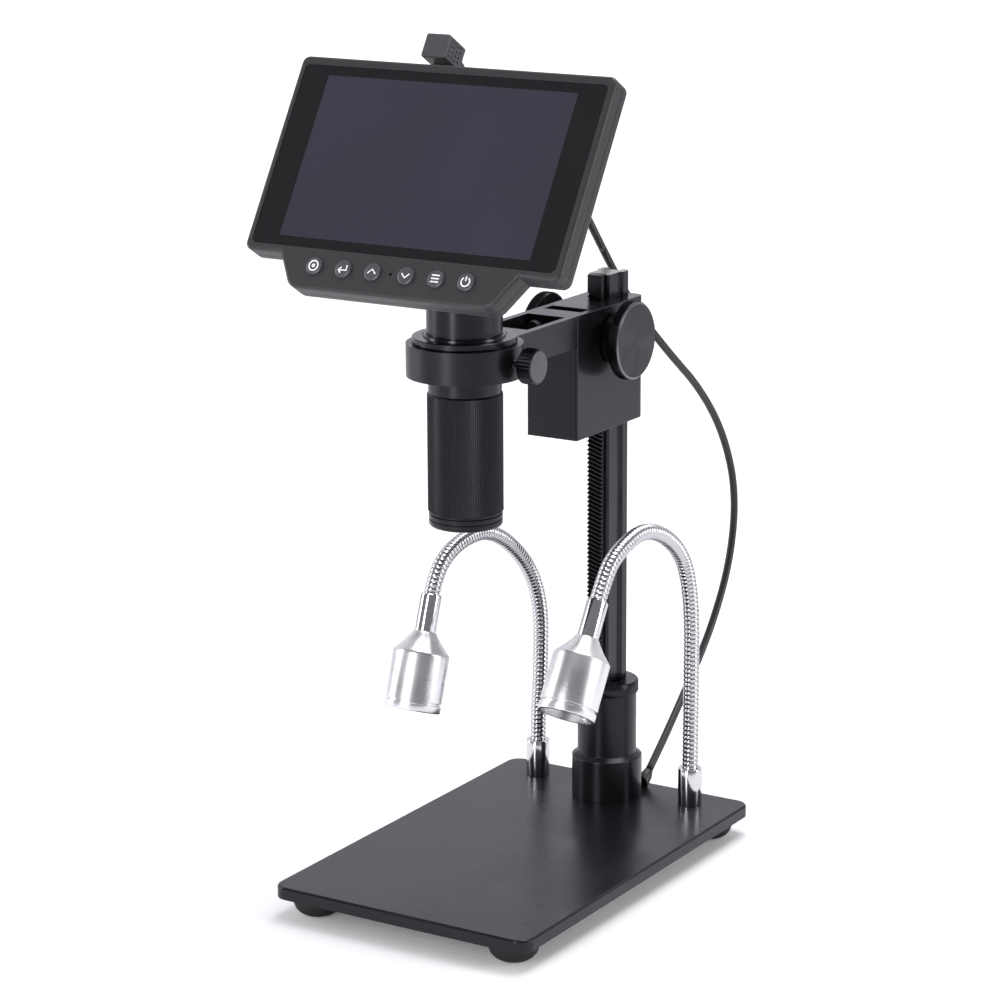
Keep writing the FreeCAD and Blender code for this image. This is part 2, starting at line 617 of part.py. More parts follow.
# Camera tube: from below the adapter up into the screen head's boss.
turned("camera_tube", [
    ("tube_dia / 2 - tube_wall", "-arm_height - 1"), ("tube_dia / 2", "-arm_height - 1"),
    ("tube_dia / 2", "tube_top - block_drop - block_height"),
    ("tube_dia / 2 - tube_wall", "tube_top - block_drop - block_height"),
], y="ring_y", z=ARM_TOP)

# Lens barrel core: smooth collar under the adapter, then a core inside the knurled sleeve.
CORE_TOP = f"({ARM_TOP} - arm_height - 1)"
turned("lens_core", [
    ("lens_core_dia / 2 - 1.6", "-smooth_length - sleeve_length + 4.5"),
    ("lens_core_dia / 2", "-smooth_length - sleeve_length + 4.5"), ("lens_core_dia / 2", "-smooth_length + 1"),
    ("smooth_dia / 2", "-smooth_length + 1"), ("smooth_dia / 2", "0"), ("lens_core_dia / 2 - 1.6", "0"),
], y="ring_y", z=CORE_TOP)

# Knurled focusing sleeve with its grooved, slightly smaller end.
turned("focus_sleeve", [
    ("lens_core_dia / 2 + running_gap", "0"),
    ("sleeve_dia / 2 - 0.5", "0"), ("sleeve_dia / 2", "-0.5"),
    ("sleeve_dia / 2", "-sleeve_length + lip_length"),
    ("lip_dia / 2 - 0.8", "-sleeve_length + lip_length - 0.4"),
    ("lip_dia / 2 - 0.8", "-sleeve_length + lip_length - 1"),
    ("lip_dia / 2", "-sleeve_length + lip_length - 1.4"),
    ("lip_dia / 2", "-sleeve_length + 2.6"), ("lip_dia / 2 - 0.5", "-sleeve_length + 2.3"),
    ("lip_dia / 2 - 0.5", "-sleeve_length + 1.9"), ("lip_dia / 2", "-sleeve_length + 1.6"),
    ("lip_dia / 2", "-sleeve_length + 0.8"), ("lip_dia / 2 - 0.8", "-sleeve_length"),
    ("front_glass_dia / 2 + 0.6", "-sleeve_length"), ("front_glass_dia / 2", "-sleeve_length + 0.6"),
    ("front_glass_dia / 2", "-sleeve_length + 3.4"),
    ("lens_core_dia / 2 + running_gap", "-sleeve_length + 3.4"),
], y="ring_y", z=f"{CORE_TOP} - smooth_length + 0.8")

# Glass in the sleeve's mouth and a second lens near the camera.
glass_low = f"{CORE_TOP} - smooth_length + 0.8 - sleeve_length + 0.7"
turned("front_lens", [
    ("0", "0.5"), ("front_glass_dia / 2 - 1", "0"), ("front_glass_dia / 2", "0"),
    ("front_glass_dia / 2", "front_glass_thick - 0.4"), ("0", "front_glass_thick - 0.4"),
], y="ring_y", z=glass_low)
turned("rear_lens", [
    ("0", "-0.4"), ("lens_core_dia / 2 - 1.6", "0"), ("lens_core_dia / 2 - 1.6", "3"), ("0", "3.6"),
], y="ring_y", z=f"{CORE_TOP} - 4")
sensor = new_body("sensor_board", y="ring_y", z=f"{PLATE_TOP} + tube_top - 22")
plan = new_sketch(sensor)
circle(plan, "0", "0", "tube_dia - 2 * tube_wall - 2 * seat_gap")
pad(sensor, plan, "sensor_board_thick")
plan = new_sketch(sensor)
outline(plan, rectangle("-5", "-5", "5", "5"))
pad(sensor, plan, "1.4", backwards=True)

# The screen head lives in a frame that leans back: X across, Y up the screen, Z out of it.
LEAN = {"y": "screen_y", "z": f"{PLATE_TOP} + screen_z", "axis": X_AXIS, "angle": "90 - lean"}
HEAD = mirrored([
    ("chin_low_half", "-chin_low"), ("chin_top_half", "-head_low"), ("head_width / 2", "-head_low"),
    ("head_width / 2", "head_top"),
])


def outer_corner(edge):
    """True for the head's upright edges, except the two where the chin meets the sides."""
    spot = edge.CenterOfMass
    inner = abs(spot.y + size("head_low")) < 0.1 and abs(spot.x) < size("chin_top_half") + 0.1
    return upright(edge) and not inner


front = new_body("screen_front_housing", **LEAN)
plan = new_sketch(front)
outline(plan, HEAD)
pad(front, plan, "front_depth", backwards=True)
rounded(front, "head_corner", outer_corner)
rounded(front, "front_edge", lambda e: abs(e.CenterOfMass.z) < 1e-4, "PartDesign::Chamfer")
recess = new_sketch(front)
outline(recess, rectangle("-glass_width / 2", "-glass_height / 2", "glass_width / 2", "glass_height / 2"))
cut(front, recess, "glass_thick + 0.1")
cavity = new_sketch(front, "XY_Plane", "-front_depth")
outline(cavity, rectangle("-panel_width / 2 - 0.2", "-panel_height / 2 - 0.2", "panel_width / 2 + 0.2",
                          "panel_height / 2 + 0.2"))
cut(front, cavity, "front_depth - glass_thick", backwards=True)
chin = new_sketch(front, "XY_Plane", "-front_depth")
outline(chin, rectangle("-chin_low_half + 4", "-chin_low + 3", "chin_low_half - 4", "-panel_height / 2 - 2.6"))
cut(front, chin, "front_depth - 2.4", backwards=True)


def button_spot(i):
    if i < 3:
        return f"button_shift - button_middle / 2 + button_pitch * {i - 2}"
    return f"button_shift + button_middle / 2 + button_pitch * {i - 3}"


holes = new_sketch(front)
for i in range(6):
    circle(holes, button_spot(i), "-button_row", "button_dia + 2 * button_gap")
cut(front, holes, "front_depth")

glass = new_body("screen_glass", **LEAN)
plan = new_sketch(glass, "XY_Plane", "-glass_thick - 0.1")
outline(plan, rectangle("-glass_width / 2 + 0.1", "-glass_height / 2 + 0.1", "glass_width / 2 - 0.1",
                        "glass_height / 2 - 0.1"))
pad(glass, plan, "glass_thick")
panel = new_body("screen_panel", **LEAN)
plan = new_sketch(panel, "XY_Plane", "-glass_thick - 0.1 - panel_thick")
outline(plan, rectangle("-panel_width / 2", "-panel_height / 2", "panel_width / 2", "panel_height / 2"))
pad(panel, plan, "panel_thick")
board = new_body("main_board", **LEAN)
plan = new_sketch(board, "XY_Plane", "-front_depth - board_thick")
outline(plan, rectangle("-board_width / 2", "-board_height / 2", "board_width / 2", "board_height / 2"))
pad(board, plan, "board_thick")
switches = new_body("button_board", **LEAN)
plan = new_sketch(switches, "XY_Plane", "-front_depth")
outline(plan, rectangle("-chin_low_half + 5", "-button_row - switch_board_height / 2",
                        "chin_low_half - 5", "-button_row + switch_board_height / 2 - 1.6"))
pad(switches, plan, "1")

# Buttons: a domed cap in each hole, a skirt behind the panel and a stem to its switch.
for i in range(6):
    skirt_top = "-2.4 - button_gap"
    cap = new_body(f"button_{i + 1}", **LEAN)
    plan = new_sketch(cap, "XY_Plane", skirt_top)
    circle(plan, button_spot(i), "-button_row", "button_dia")
    pad(cap, plan, f"button_proud - ({skirt_top})")
    rounded(cap, "button_edge", lambda e: abs(e.CenterOfMass.z - size("button_proud")) < 1e-4,
            "PartDesign::Chamfer")
    plan = new_sketch(cap, "XY_Plane", skirt_top + " - button_skirt")
    circle(plan, button_spot(i), "-button_row", "button_skirt_dia")
    pad(cap, plan, "button_skirt")

# Rear housing: a shallow tray with a soft back edge, and an upright boss round the tube.
rear = doc.addObject("PartDesign::Body", "body_rear_tray")
place(rear, **LEAN)
plan = new_sketch(rear, "XY_Plane", "-front_depth")
outline(plan, HEAD)
pad(rear, plan, "rear_depth", backwards=True)
rounded(rear, "head_corner", outer_corner)
rounded(rear, "rear_edge", lambda e: abs(e.CenterOfMass.z + size("front_depth + rear_depth")) < 1e-4,
        "PartDesign::Chamfer")
hollow = new_sketch(rear, "XY_Plane", "-front_depth")
outline(hollow, rectangle("-head_width / 2 + shell_wall + 1", "-head_low + shell_wall + 1",
                          "head_width / 2 - shell_wall - 1", "head_top - shell_wall - 1"))
cut(rear, hollow, "rear_depth - shell_wall")
port = new_sketch(rear, "XY_Plane", "-front_depth - rear_depth / 2 - tongue_thick / 2 - 0.2")
outline(port, rectangle("plug_x - tongue_width / 2 - 0.2", "head_top - tongue_length",
                        "plug_x + tongue_width / 2 + 0.2", "head_top + 1"))
cut(rear, port, "tongue_thick + 0.4", backwards=True)
boss = cylinder("boss_outer", "boss_dia", "60", y="ring_y", z=f"{PLATE_TOP} + boss_low")
BOSS_FRONT = "(front_depth + rear_depth - 0.5)"
gap = box("boss_trim", "head_width", "200", "100", x="-head_width / 2", axis=X_AXIS, angle="90 - lean",
          y=f"screen_y + {BOSS_FRONT} * cos(lean) - 100 * sin(lean)",
          z=f"{PLATE_TOP} + screen_z - {BOSS_FRONT} * sin(lean) - 100 * cos(lean)")
trimmed = joined("Cut", "boss_trimmed", boss, gap)
shell = together("rear_solid", [rear, trimmed])
bore = cylinder("boss_bore", "tube_dia + 2 * adapter_fit", "tube_top - boss_low + 1 + adapter_fit",
                y="ring_y", z=f"{PLATE_TOP} + boss_low - 1")
node(joined("Cut", "rear_whole", shell, bore), "screen_rear_housing")

# Plug: an angled moulded body on the head's top edge, its metal tongue and relief.
plug = new_body("usb_plug", **LEAN)
plan = new_sketch(plug, "XY_Plane", "-plug_set - plug_length")
outline(plan, rectangle("plug_x - plug_width / 2", "head_top + plug_gap", "plug_x + plug_width / 2",
                        "head_top + plug_gap + plug_height"))
pad(plug, plan, "plug_length")
rounded(plug, "1", upright)
plan = new_sketch(plug, "XY_Plane", "-plug_set - plug_length - relief_length")
circle(plan, "plug_x", "head_top + plug_gap + plug_height / 2", "relief_dia")
pad(plug, plan, "relief_length")
tongue = new_body("usb_plug_shell", **LEAN)
plan = new_sketch(tongue, "XY_Plane", "-front_depth - rear_depth / 2 - tongue_thick / 2")
outline(plan, rectangle("plug_x - tongue_width / 2", "head_top + 0.4 - tongue_length", "plug_x + tongue_width / 2",
                        "head_top + plug_gap"))
pad(tongue, plan, "tongue_thick")

# Cable gland on the base plate, leaning to the back and cut flat where it stands.
GLAND_Z = PLATE_TOP + " + gland_dia / 2"
boot = new_body("gland_boot", x="gland_x", y="gland_y", z=GLAND_Z, axis=X_AXIS, angle="-gland_lean")
nodes.remove(boot)
profile = new_sketch(boot, "XZ_Plane")
outline(profile, [
    ("0", "-gland_dia"), ("gland_dia / 2", "-gland_dia"), ("gland_dia / 2", "gland_length / 2"),
    ("cable_dia / 2 + 0.3", "gland_length"), ("0", "gland_length"),
])
spin = boot.newObject("PartDesign::Revolution", "gland_turned")
spin.Profile = profile
spin.ReferenceAxis = (profile, ["V_Axis"])
spin.Angle = 360
below = box("gland_below", "8 * gland_dia", "8 * gland_dia", "4 * gland_dia", x="gland_x - 4 * gland_dia",
            y="gland_y - 4 * gland_dia", z=PLATE_TOP + " - 4 * gland_dia")
behind = box("gland_front", "8 * gland_dia", "4 * gland_dia", "4 * gland_dia", x="gland_x - 4 * gland_dia",
             y="gland_y - 4.3 * gland_dia", z=PLATE_TOP)
node(joined("Cut", "gland_whole", boot, together("gland_tools", [below, behind])), "cable_gland")

# Lamp feet: plain chrome ferrules that stand on the plate.
for side, sign in (("left", "-1"), ("right", "1")):
    turned(f"lamp_foot_{side}", [
        ("0", "0"), ("base_ferrule_dia / 2", "0"), ("base_ferrule_dia / 2", "base_ferrule_height - 0.6"),
        ("base_ferrule_dia / 2 - 0.6", "base_ferrule_height"),
        ("gooseneck_dia / 2 + running_gap", "base_ferrule_height"),
        ("gooseneck_dia / 2 + running_gap", "4.3"), ("0", "4.3"),
    ], x=f"{sign} * lamp_x", y="lamp_y", z=PLATE_TOP)

# The goosenecks' routes and the cable's route, as points that the photograph gives.
NECKS = {
    "right": [(75.2, 24), (75.4, 50), (75.2, 90), (65, 112.5), (37.5, 127.5), (12.5, 122)],
    "left": [(75.2, 24), (77.5, 48), (78, 76), (65, 98), (37.5, 117), (12, 116.5)],
}
HEADS = {
    "right": {"tip": (-1.3, 106.2), "aim": (-24.5, 68.1)},
    "left": {"tip": (-6.4, 99.6), "aim": (-21.9, 54.7)},
}


def smooth_path(points):
    """Straight runs with an arc at each inner point, as large as its two runs allow."""
    edges = []
    here = points[0]
    radii = []
    for i in range(1, len(points) - 1):
        back = points[i - 1] - points[i]
        ahead = points[i + 1] - points[i]
        turn = math.pi - back.getAngle(ahead)
        reach = 0.45 * min(back.Length, ahead.Length)
        radii.append(reach / math.tan(turn / 2))
        start = points[i] + back.normalize() * reach
        end = points[i] + ahead.normalize() * reach
        middle_way = (back + ahead).normalize()
        centre = points[i] + middle_way * (radii[-1] / math.cos(turn / 2))
        middle = centre - middle_way * radii[-1]
        edges.append(Part.LineSegment(here, start).toShape())
        edges.append(Part.Arc(start, middle, end).toShape())
        here = end
    edges.append(Part.LineSegment(here, points[-1]).toShape())
    return Part.Wire(edges), radii


def tube_along(points, diameter, label):
    path, radii = smooth_path(points)
    ring = Part.Wire(Part.Circle(points[0], points[1] - points[0], diameter / 2).toShape())
    solid = path.makePipeShell([ring], True, False)
    expected = math.pi * diameter ** 2 / 4 * path.Length
    print(label, "length", round(path.Length, 1), "radii", [round(r, 1) for r in radii],
          "volume share", round(solid.Volume / expected, 4))
    return feature_from(solid, label)


for side, sign in (("right", 1), ("left", -1)):
    top = size(PLATE_TOP)
    x = sign * size("lamp_x")
    tip = HEADS[side]["tip"]
    aim = HEADS[side]["aim"]
    axis = FreeCAD.Vector(0, aim[0] - tip[0], aim[1] - tip[1])
    axis.normalize()
    end = FreeCAD.Vector(x, tip[0], tip[1] + top)
    root = FreeCAD.Vector(x, size("lamp_y"), top + 4.6)
    route = [root] + [FreeCAD.Vector(x, y, z + top) for y, z in NECKS[side]]
    route += [end - axis * 9, end + axis * size("neck_seat")]
    tube_along(route, size("gooseneck_dia"), f"gooseneck_{side}")
    pose = FreeCAD.Placement(end, FreeCAD.Rotation(Z_AXIS, axis))
    print("lamp", side, "tip", end, "axis", axis)
    cone_top = "ferrule_length"
    body_top = "(ferrule_length + lamp_cone)"
    body_end = f"({body_top} + lamp_body)"
    bezel_end = f"({body_end} + bezel_length)"
    pieces = [
        turned(f"lamp_ferrule_{side}", [
            ("gooseneck_dia / 2 + running_gap", "0"), ("ferrule_dia / 2 - 0.5", "0"),
            ("ferrule_dia / 2", "0.6"), ("ferrule_dia / 2", "ferrule_length"), ("0", "ferrule_length"),
            ("0", "neck_seat + 1"),
            ("gooseneck_dia / 2 + running_gap", "neck_seat + 1"),
        ]),
        turned(f"lamp_head_{side}", [
            ("0", cone_top), ("ferrule_dia / 2 + 0.6", cone_top), ("lamp_dia / 2", body_top),
            ("lamp_dia / 2", f"{body_end} - lamp_groove"),
            ("lamp_dia / 2 - 0.7", f"{body_end} - lamp_groove"), ("lamp_dia / 2 - 0.7", body_end),
            ("lamp_dia / 2 - lamp_wall", body_end), ("lamp_dia / 2 - lamp_wall", f"{body_top} + 2"),
            ("0", f"{body_top} + 2"),
        ]),
        turned(f"lamp_bezel_{side}", [
            ("lamp_dia / 2 - lamp_wall", body_end), ("lamp_dia / 2", body_end),
            ("lamp_dia / 2", f"{bezel_end} - 0.5"), ("lamp_dia / 2 - 0.5", bezel_end),
            ("lamp_dia / 2 - lamp_wall", bezel_end),
        ]),
        turned(f"lamp_reflector_{side}", [
            ("3.2", f"{body_end} - led_depth"), ("4", f"{body_end} - led_depth"),
            ("lamp_dia / 2 - lamp_wall - 0.1", f"{body_end} - 1.2"),
            ("lamp_dia / 2 - lamp_wall - 0.1", f"{body_end} - 0.4"),
            ("lamp_dia / 2 - lamp_wall - 0.9", f"{body_end} - 0.4"),
        ]),
        turned(f"lamp_led_board_{side}", [
            ("0", f"{body_end} - led_depth - led_board_thick"),
            ("lamp_dia / 2 - lamp_wall - 0.1", f"{body_end} - led_depth - led_board_thick"),
            ("lamp_dia / 2 - lamp_wall - 0.1", f"{body_end} - led_depth"), ("2.6", f"{body_end} - led_depth"),
            ("2.6", f"{body_end} - 5.8"), ("0", f"{body_end} - 5.2"),
        ]),
    ]
    for piece in pieces:
        for part in ("x", "y", "z"):
            piece.setExpression(".Placement.Base." + part, None)
        piece.Placement = pose

# The cable: from the plug's relief over and behind the column and down to the gland.
lean = math.radians(size("lean"))
out = FreeCAD.Vector(0, -math.cos(lean), math.sin(lean))
up = FreeCAD.Vector(0, math.sin(lean), math.cos(lean))
screen = FreeCAD.Vector(0, size("screen_y"), size(f"{PLATE_TOP} + screen_z"))
start = screen + X_AXIS * size("plug_x") + up * size("head_top + plug_gap + plug_height / 2")
start = start - out * size("plug_set + plug_length + relief_length")
tilt = math.radians(size("gland_lean"))
gland_axis = FreeCAD.Vector(0, math.sin(tilt), math.cos(tilt))
finish = FreeCAD.Vector(size("gland_x"), size("gland_y"), size(GLAND_Z))
finish = finish + gland_axis * size("gland_length")
CABLE = [(-10.6, 36, 282), (-11.5, 63, 266), (-11, 84, 240), (-5, 99, 214), (1.5, 118, 192),
         (4, 141, 173), (5.5, 160, 150), (6.3, 171, 122), (6.8, 166, 93), (7.2, 149, 67), (7.3, 127, 46)]
route = [start, start - out * 26] + [FreeCAD.Vector(*p) for p in CABLE]
route += [finish + gland_axis * 16, finish]
tube_along(route, size("cable_dia"), "usb_cable")

# Nothing is written while any object is in error or any piece is not a sound solid.
doc.recompute()
for thing in doc.Objects:
    if "Invalid" in thing.State or "Error" in thing.State:
        raise SystemExit("failed object " + thing.Name + " " + str(thing.State))
labels = [piece.Label for piece in nodes]
if len(set(labels)) != len(labels):
    raise SystemExit("two pieces share a name")
for piece in nodes:
    shape = piece.Shape
    if shape.isNull() or not shape.isValid() or not shape.Solids:
        raise SystemExit("bad shape " + piece.Label)
    shape.exportStep(f"parts/{piece.Label}.step")
print(len(nodes), "pieces")
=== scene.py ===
# %% [markdown]
# The imported CAD model is the frame of this scene: every piece sits where the model says.

import json
import math

import bmesh
import bpy
from mathutils import Matrix, Vector


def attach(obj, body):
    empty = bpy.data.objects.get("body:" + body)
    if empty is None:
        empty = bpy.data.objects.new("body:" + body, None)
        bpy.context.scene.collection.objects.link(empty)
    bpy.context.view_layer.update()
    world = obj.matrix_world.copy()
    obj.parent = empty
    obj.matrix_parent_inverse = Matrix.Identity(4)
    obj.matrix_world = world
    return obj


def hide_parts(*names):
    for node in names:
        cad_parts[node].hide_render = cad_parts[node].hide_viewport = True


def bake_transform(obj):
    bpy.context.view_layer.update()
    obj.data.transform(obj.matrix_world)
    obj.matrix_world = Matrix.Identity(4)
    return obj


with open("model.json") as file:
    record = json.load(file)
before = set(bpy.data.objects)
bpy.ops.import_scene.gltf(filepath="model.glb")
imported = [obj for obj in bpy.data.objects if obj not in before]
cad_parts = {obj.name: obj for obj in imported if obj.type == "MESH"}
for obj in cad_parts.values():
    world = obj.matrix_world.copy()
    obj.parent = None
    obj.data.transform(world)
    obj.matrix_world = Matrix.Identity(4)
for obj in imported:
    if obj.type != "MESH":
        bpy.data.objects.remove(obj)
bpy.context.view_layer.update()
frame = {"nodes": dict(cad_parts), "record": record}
MM = 0.001

# %% [markdown]
# The camera stands where the photographer stood: in front of the stand, a little above it and
# well to its right, with a long lens. Position and turn were found by matching plate corners,
# screen corners and column edges, so the numbers are used as they are.

# %% Camera
AZIMUTH, PITCH, ROLL = math.radians(31.786), math.radians(14.306), math.radians(-0.273)
CAMERA_SPOT = Vector((0.63996, -1.04628, 0.46722))
back = Vector((math.sin(AZIMUTH) * math.cos(PITCH), -math.cos(AZIMUTH) * math.cos(PITCH),
               math.sin(PITCH)))
level = Vector((0, 0, 1)).cross(back).normalized()
upward = back.cross(level)
right = level * math.cos(ROLL) + upward * math.sin(ROLL)
upward = upward * math.cos(ROLL) - level * math.sin(ROLL)
camera = bpy.data.objects.new("camera", bpy.data.cameras.new("camera"))
camera.matrix_world = Matrix.LocRotScale(
    CAMERA_SPOT, Matrix((right, upward, back)).transposed(), None)
camera.data.sensor_width = 36
camera.data.lens = 116.95
camera.data.clip_start = 0.05
bpy.context.scene.collection.objects.link(camera)
bpy.context.scene.camera = camera
print("camera", [round(x, 3) for x in camera.location], "lens", camera.data.lens, "mm")

# %% [markdown]
# A few small helpers come first. A colour is written as the sRGB hex value that a painter would
# pick, and turned to the linear numbers that the shader works with. A node is added with its
# settings and its links in one line, and a map range has a short form of its own.

# %% Colour and node helpers
def colour(text):
    """Linear RGBA from an sRGB hex value."""
    channels = [int(text[i:i + 2], 16) / 255 for i in (1, 3, 5)]
    return [c / 12.92 if c <= 0.04045 else ((c + 0.055) / 1.055) ** 2.4 for c in channels] + [1]


def add(tree, kind, settings=None, **inputs):
    """One shader node: settings are its properties, inputs are values or sockets to link."""
    made = tree.nodes.new("ShaderNode" + kind)
    for name, value in (settings or {}).items():
        setattr(made, name, value)
    for name, value in inputs.items():
        numbered = name[1:].isdigit()
        socket = made.inputs[int(name[1:]) if numbered else name.replace("_", " ")]
        if isinstance(value, bpy.types.NodeSocket):
            tree.links.new(value, socket)
        else:
            socket.default_value = value
    return made


def ranged(tree, value, low, high, to_low, to_high):
    """A value from low to high, carried to another range and held inside it."""
    return add(tree, "MapRange", Value=value, From_Min=low, From_Max=high,
               To_Min=to_low, To_Max=to_high)


def new_material(name):
    """An empty material with its output, ready for a shader."""
    material = bpy.data.materials.new(name)
    material.use_nodes = True
    material.node_tree.nodes.clear()
    output = material.node_tree.nodes.new("ShaderNodeOutputMaterial")
    return material, material.node_tree, output


# %% [markdown]
# The cable is the one loose thing on this object. It leaves the plug's relief over the top edge
# of the screen head, falls behind the column in one slack bow and goes into the gland on the
# plate. Its route is a NURBS line through a few control points. Two joints lie between its ends,
# so its tube is made in two lengths that meet behind the column.

# %% Cable route
CABLE_THICK = 0.0032
MEETING_SPOT = Vector((-0.011, 0.084, 0.24))
CABLE_ROUTE = [
    (-13, -19.36, 323.57), (-13, 2.83, 310.03), (-10.6, 36, 282), (-11.5, 63, 266), (-11, 84, 240),
    (-5, 99, 214), (1.5, 118, 192), (4, 141, 173), (5.5, 160, 150), (6.3, 171, 122),
    (6.8, 166, 93), (7.2, 149, 67), (7.3, 127, 46), (9.6, 101.15, 28.43), (9.6, 88.54, 18.58),
]


def nurbs_line(name, points):
    """The points of a smooth line, in metres, from control points in millimetres."""
    data = bpy.data.curves.new(name, "CURVE")
    data.dimensions = "3D"
    spline = data.splines.new("NURBS")
    spline.points.add(len(points) - 1)
    for spot, point in zip(spline.points, points):
        spot.co = (*(MM * value for value in point), 1)
    spline.order_u = 3
    spline.use_endpoint_u = True
    data.resolution_u = 12
    holder = bpy.data.objects.new(name, data)
    mesh = bpy.data.meshes.new_from_object(holder)
    line = [vertex.co.copy() for vertex in mesh.vertices]
    bpy.data.objects.remove(holder)
    bpy.data.meshes.remove(mesh)
    return line


def run_length(line):
    return sum((b - a).length for a, b in zip(line, line[1:]))


cable_line = nurbs_line("cable_line", CABLE_ROUTE)
meeting = min(range(len(cable_line)), key=lambda i: (cable_line[i] - MEETING_SPOT).length)
cable_top, cable_low = cable_line[:meeting + 1], cable_line[meeting:]
print("cable", round(run_length(cable_line) / MM, 1), "mm in", len(cable_line), "points")


# %% [markdown]
# A tube along a line is a bmesh circle carried from point to point. Its frame is turned by the
# smallest turn at each step, so the tube doesn't twist, and its UV runs along it in metres. A
# wound tube is cut into many short steps, and its radius follows a round wire in a helix.

# %% Tubes
def evenly(line, step):
    """The same line in steps of one length, with its own end point kept."""
    spots, left = [line[0]], step
    for a, b in zip(line, line[1:]):
        reach = (b - a).length
        while left <= reach:
            spots.append(a.lerp(b, left / reach))
            left += step
        left -= reach
    return spots + [line[-1]]


def tube(name, line, radius, sides=20, pitch=0, depth=0):
    """A round tube along a line, plain or wound; its UV holds metres along and around."""
    steps_per_turn = 9
    if pitch:
        line = evenly(line, pitch / steps_per_turn)
    form = bmesh.new()
    layer = form.loops.layers.uv.new("along")
    aim = (line[1] - line[0]).normalized()
    turn = Vector((0, 0, 1)).rotation_difference(aim)
    rings, gone = [], [0.0]
    for i, point in enumerate(line):
        ahead = (line[min(i + 1, len(line) - 1)] - line[max(i - 1, 0)]).normalized()
        turn = aim.rotation_difference(ahead) @ turn
        aim = ahead
        made = bmesh.ops.create_circle(form, segments=sides, radius=radius,
                                       matrix=Matrix.LocRotScale(point, turn, None))
        rings.append(made["verts"])
        if i:
            gone.append(gone[-1] + (point - line[i - 1]).length)
        if pitch:
            for k, spot in enumerate(made["verts"]):
                phase = math.pi * (gone[-1] / pitch - k / sides)
                valley = (1 - abs(math.sin(phase))) ** 2
                spot.co = point + (spot.co - point) * (1 - valley * depth / radius)
    for i in range(len(rings) - 1):
        for k in range(sides):
            n = (k + 1) % sides
            face = form.faces.new((rings[i][k], rings[i][n], rings[i + 1][n], rings[i + 1][k]))
            face.smooth = True
            marks = ((gone[i], k), (gone[i], k + 1), (gone[i + 1], k + 1), (gone[i + 1], k))
            for loop, (u, v) in zip(face.loops, marks):
                loop[layer].uv = (u, v * 2 * math.pi * radius / sides)
    form.faces.new(rings[0][::-1])
    form.faces.new(rings[-1])
    bmesh.ops.recalc_face_normals(form, faces=form.faces)
    return as_object(name, form)


def as_object(name, form):
    """The finished bmesh as an object at the origin."""
    mesh = bpy.data.meshes.new(name)
    form.to_mesh(mesh)
    form.free()
    piece = bpy.data.objects.new(name, mesh)
    bpy.context.scene.collection.objects.link(piece)
    return piece


cable_lower = tube("cable_lower", cable_low, CABLE_THICK / 2)
cable_upper = tube("cable_upper", cable_top, CABLE_THICK / 2)
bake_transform(cable_lower)
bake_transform(cable_upper)
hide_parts("usb_cable")
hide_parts("usb_cable")
print("cable lengths", round(run_length(cable_low), 4), round(run_length(cable_top), 4))

# %% [markdown]
# Most metal of the stand is aluminium, machined or extruded, then bead-blasted and dyed black
# while it is anodised. The oxide is a hard clear layer, so it shines like a dielectric with a
# slightly cold cast and mirrors a pale room at low angles, and the blasting gives a fine grain
# of about a quarter of a millimetre. The column is drawn, so its grain is stretched along Z,
# and its sawn top shows the bare metal.

# %% Anodised aluminium
COLUMN_TOP = 0.2339


def anodised(name, dye, rough, grain, grain_depth=0.004, drawn=False, raw_above=None):
    """Black anodised aluminium; drawn stretches the grain along Z, as on an extrusion."""
    material, tree, output = new_material(name)
    place = add(tree, "TexCoord")
    spot = add(tree, "Mapping", Vector=place.outputs["Object"],
               Scale=(1, 1, 0.02 if drawn else 1))
    fine = add(tree, "TexNoise", Vector=spot.outputs[0], Scale=1 / (grain * MM), Detail=3.0)
    broad = add(tree, "TexNoise", Vector=place.outputs["Object"], Scale=1 / (30 * MM), Detail=2.0)
    tone = ranged(tree, fine.outputs["Fac"], 0.3, 0.7, 0.86, 1.14)
    dyed = add(tree, "Mix", {"data_type": "RGBA", "blend_type": "MULTIPLY"}, _0=1.0,
               _6=colour(dye), _7=tone.outputs[0])
    shine = ranged(tree, broad.outputs["Fac"], 0.3, 0.7, rough - 0.05, rough + 0.05)
    bump = add(tree, "Bump", Strength=0.35, Distance=grain_depth * MM, Height=fine.outputs["Fac"])
    base = dyed.outputs[2]
    if raw_above is not None:
        height = add(tree, "SeparateXYZ", Vector=place.outputs["Object"])
        cut = add(tree, "Math", {"operation": "GREATER_THAN"}, _0=height.outputs["Z"],
                  _1=raw_above)
        base = add(tree, "Mix", {"data_type": "RGBA"}, _0=cut.outputs[0], _6=base,
                   _7=colour("#8C8C8A")).outputs[2]
    shader = add(tree, "BsdfPrincipled", Base_Color=base, Roughness=shine.outputs[0],
                 Metallic=0.25, Specular_Tint=colour("#E6E7F3"), Normal=bump.outputs[0])
    tree.links.new(shader.outputs[0], output.inputs[0])
    return material


plate_black = anodised("anodised_aluminium_plate", "#18181B", rough=0.26, grain=0.3,
                       grain_depth=0.001)
block_black = anodised("anodised_aluminium_block", "#131316", rough=0.27, grain=0.25,
                       grain_depth=0.002)
column_black = anodised("anodised_aluminium_extruded", "#131317", rough=0.26, grain=0.4,
                        drawn=True, raw_above=COLUMN_TOP)
rack_black = anodised("anodised_aluminium_rack", "#161618", rough=0.34, grain=0.2)
knurl_black = anodised("anodised_aluminium_knurled", "#0F0F11", rough=0.28, grain=0.2)
knob_black = anodised("anodised_aluminium_knob", "#0E0E10", rough=0.20, grain=0.2)
print("anodised finishes made")

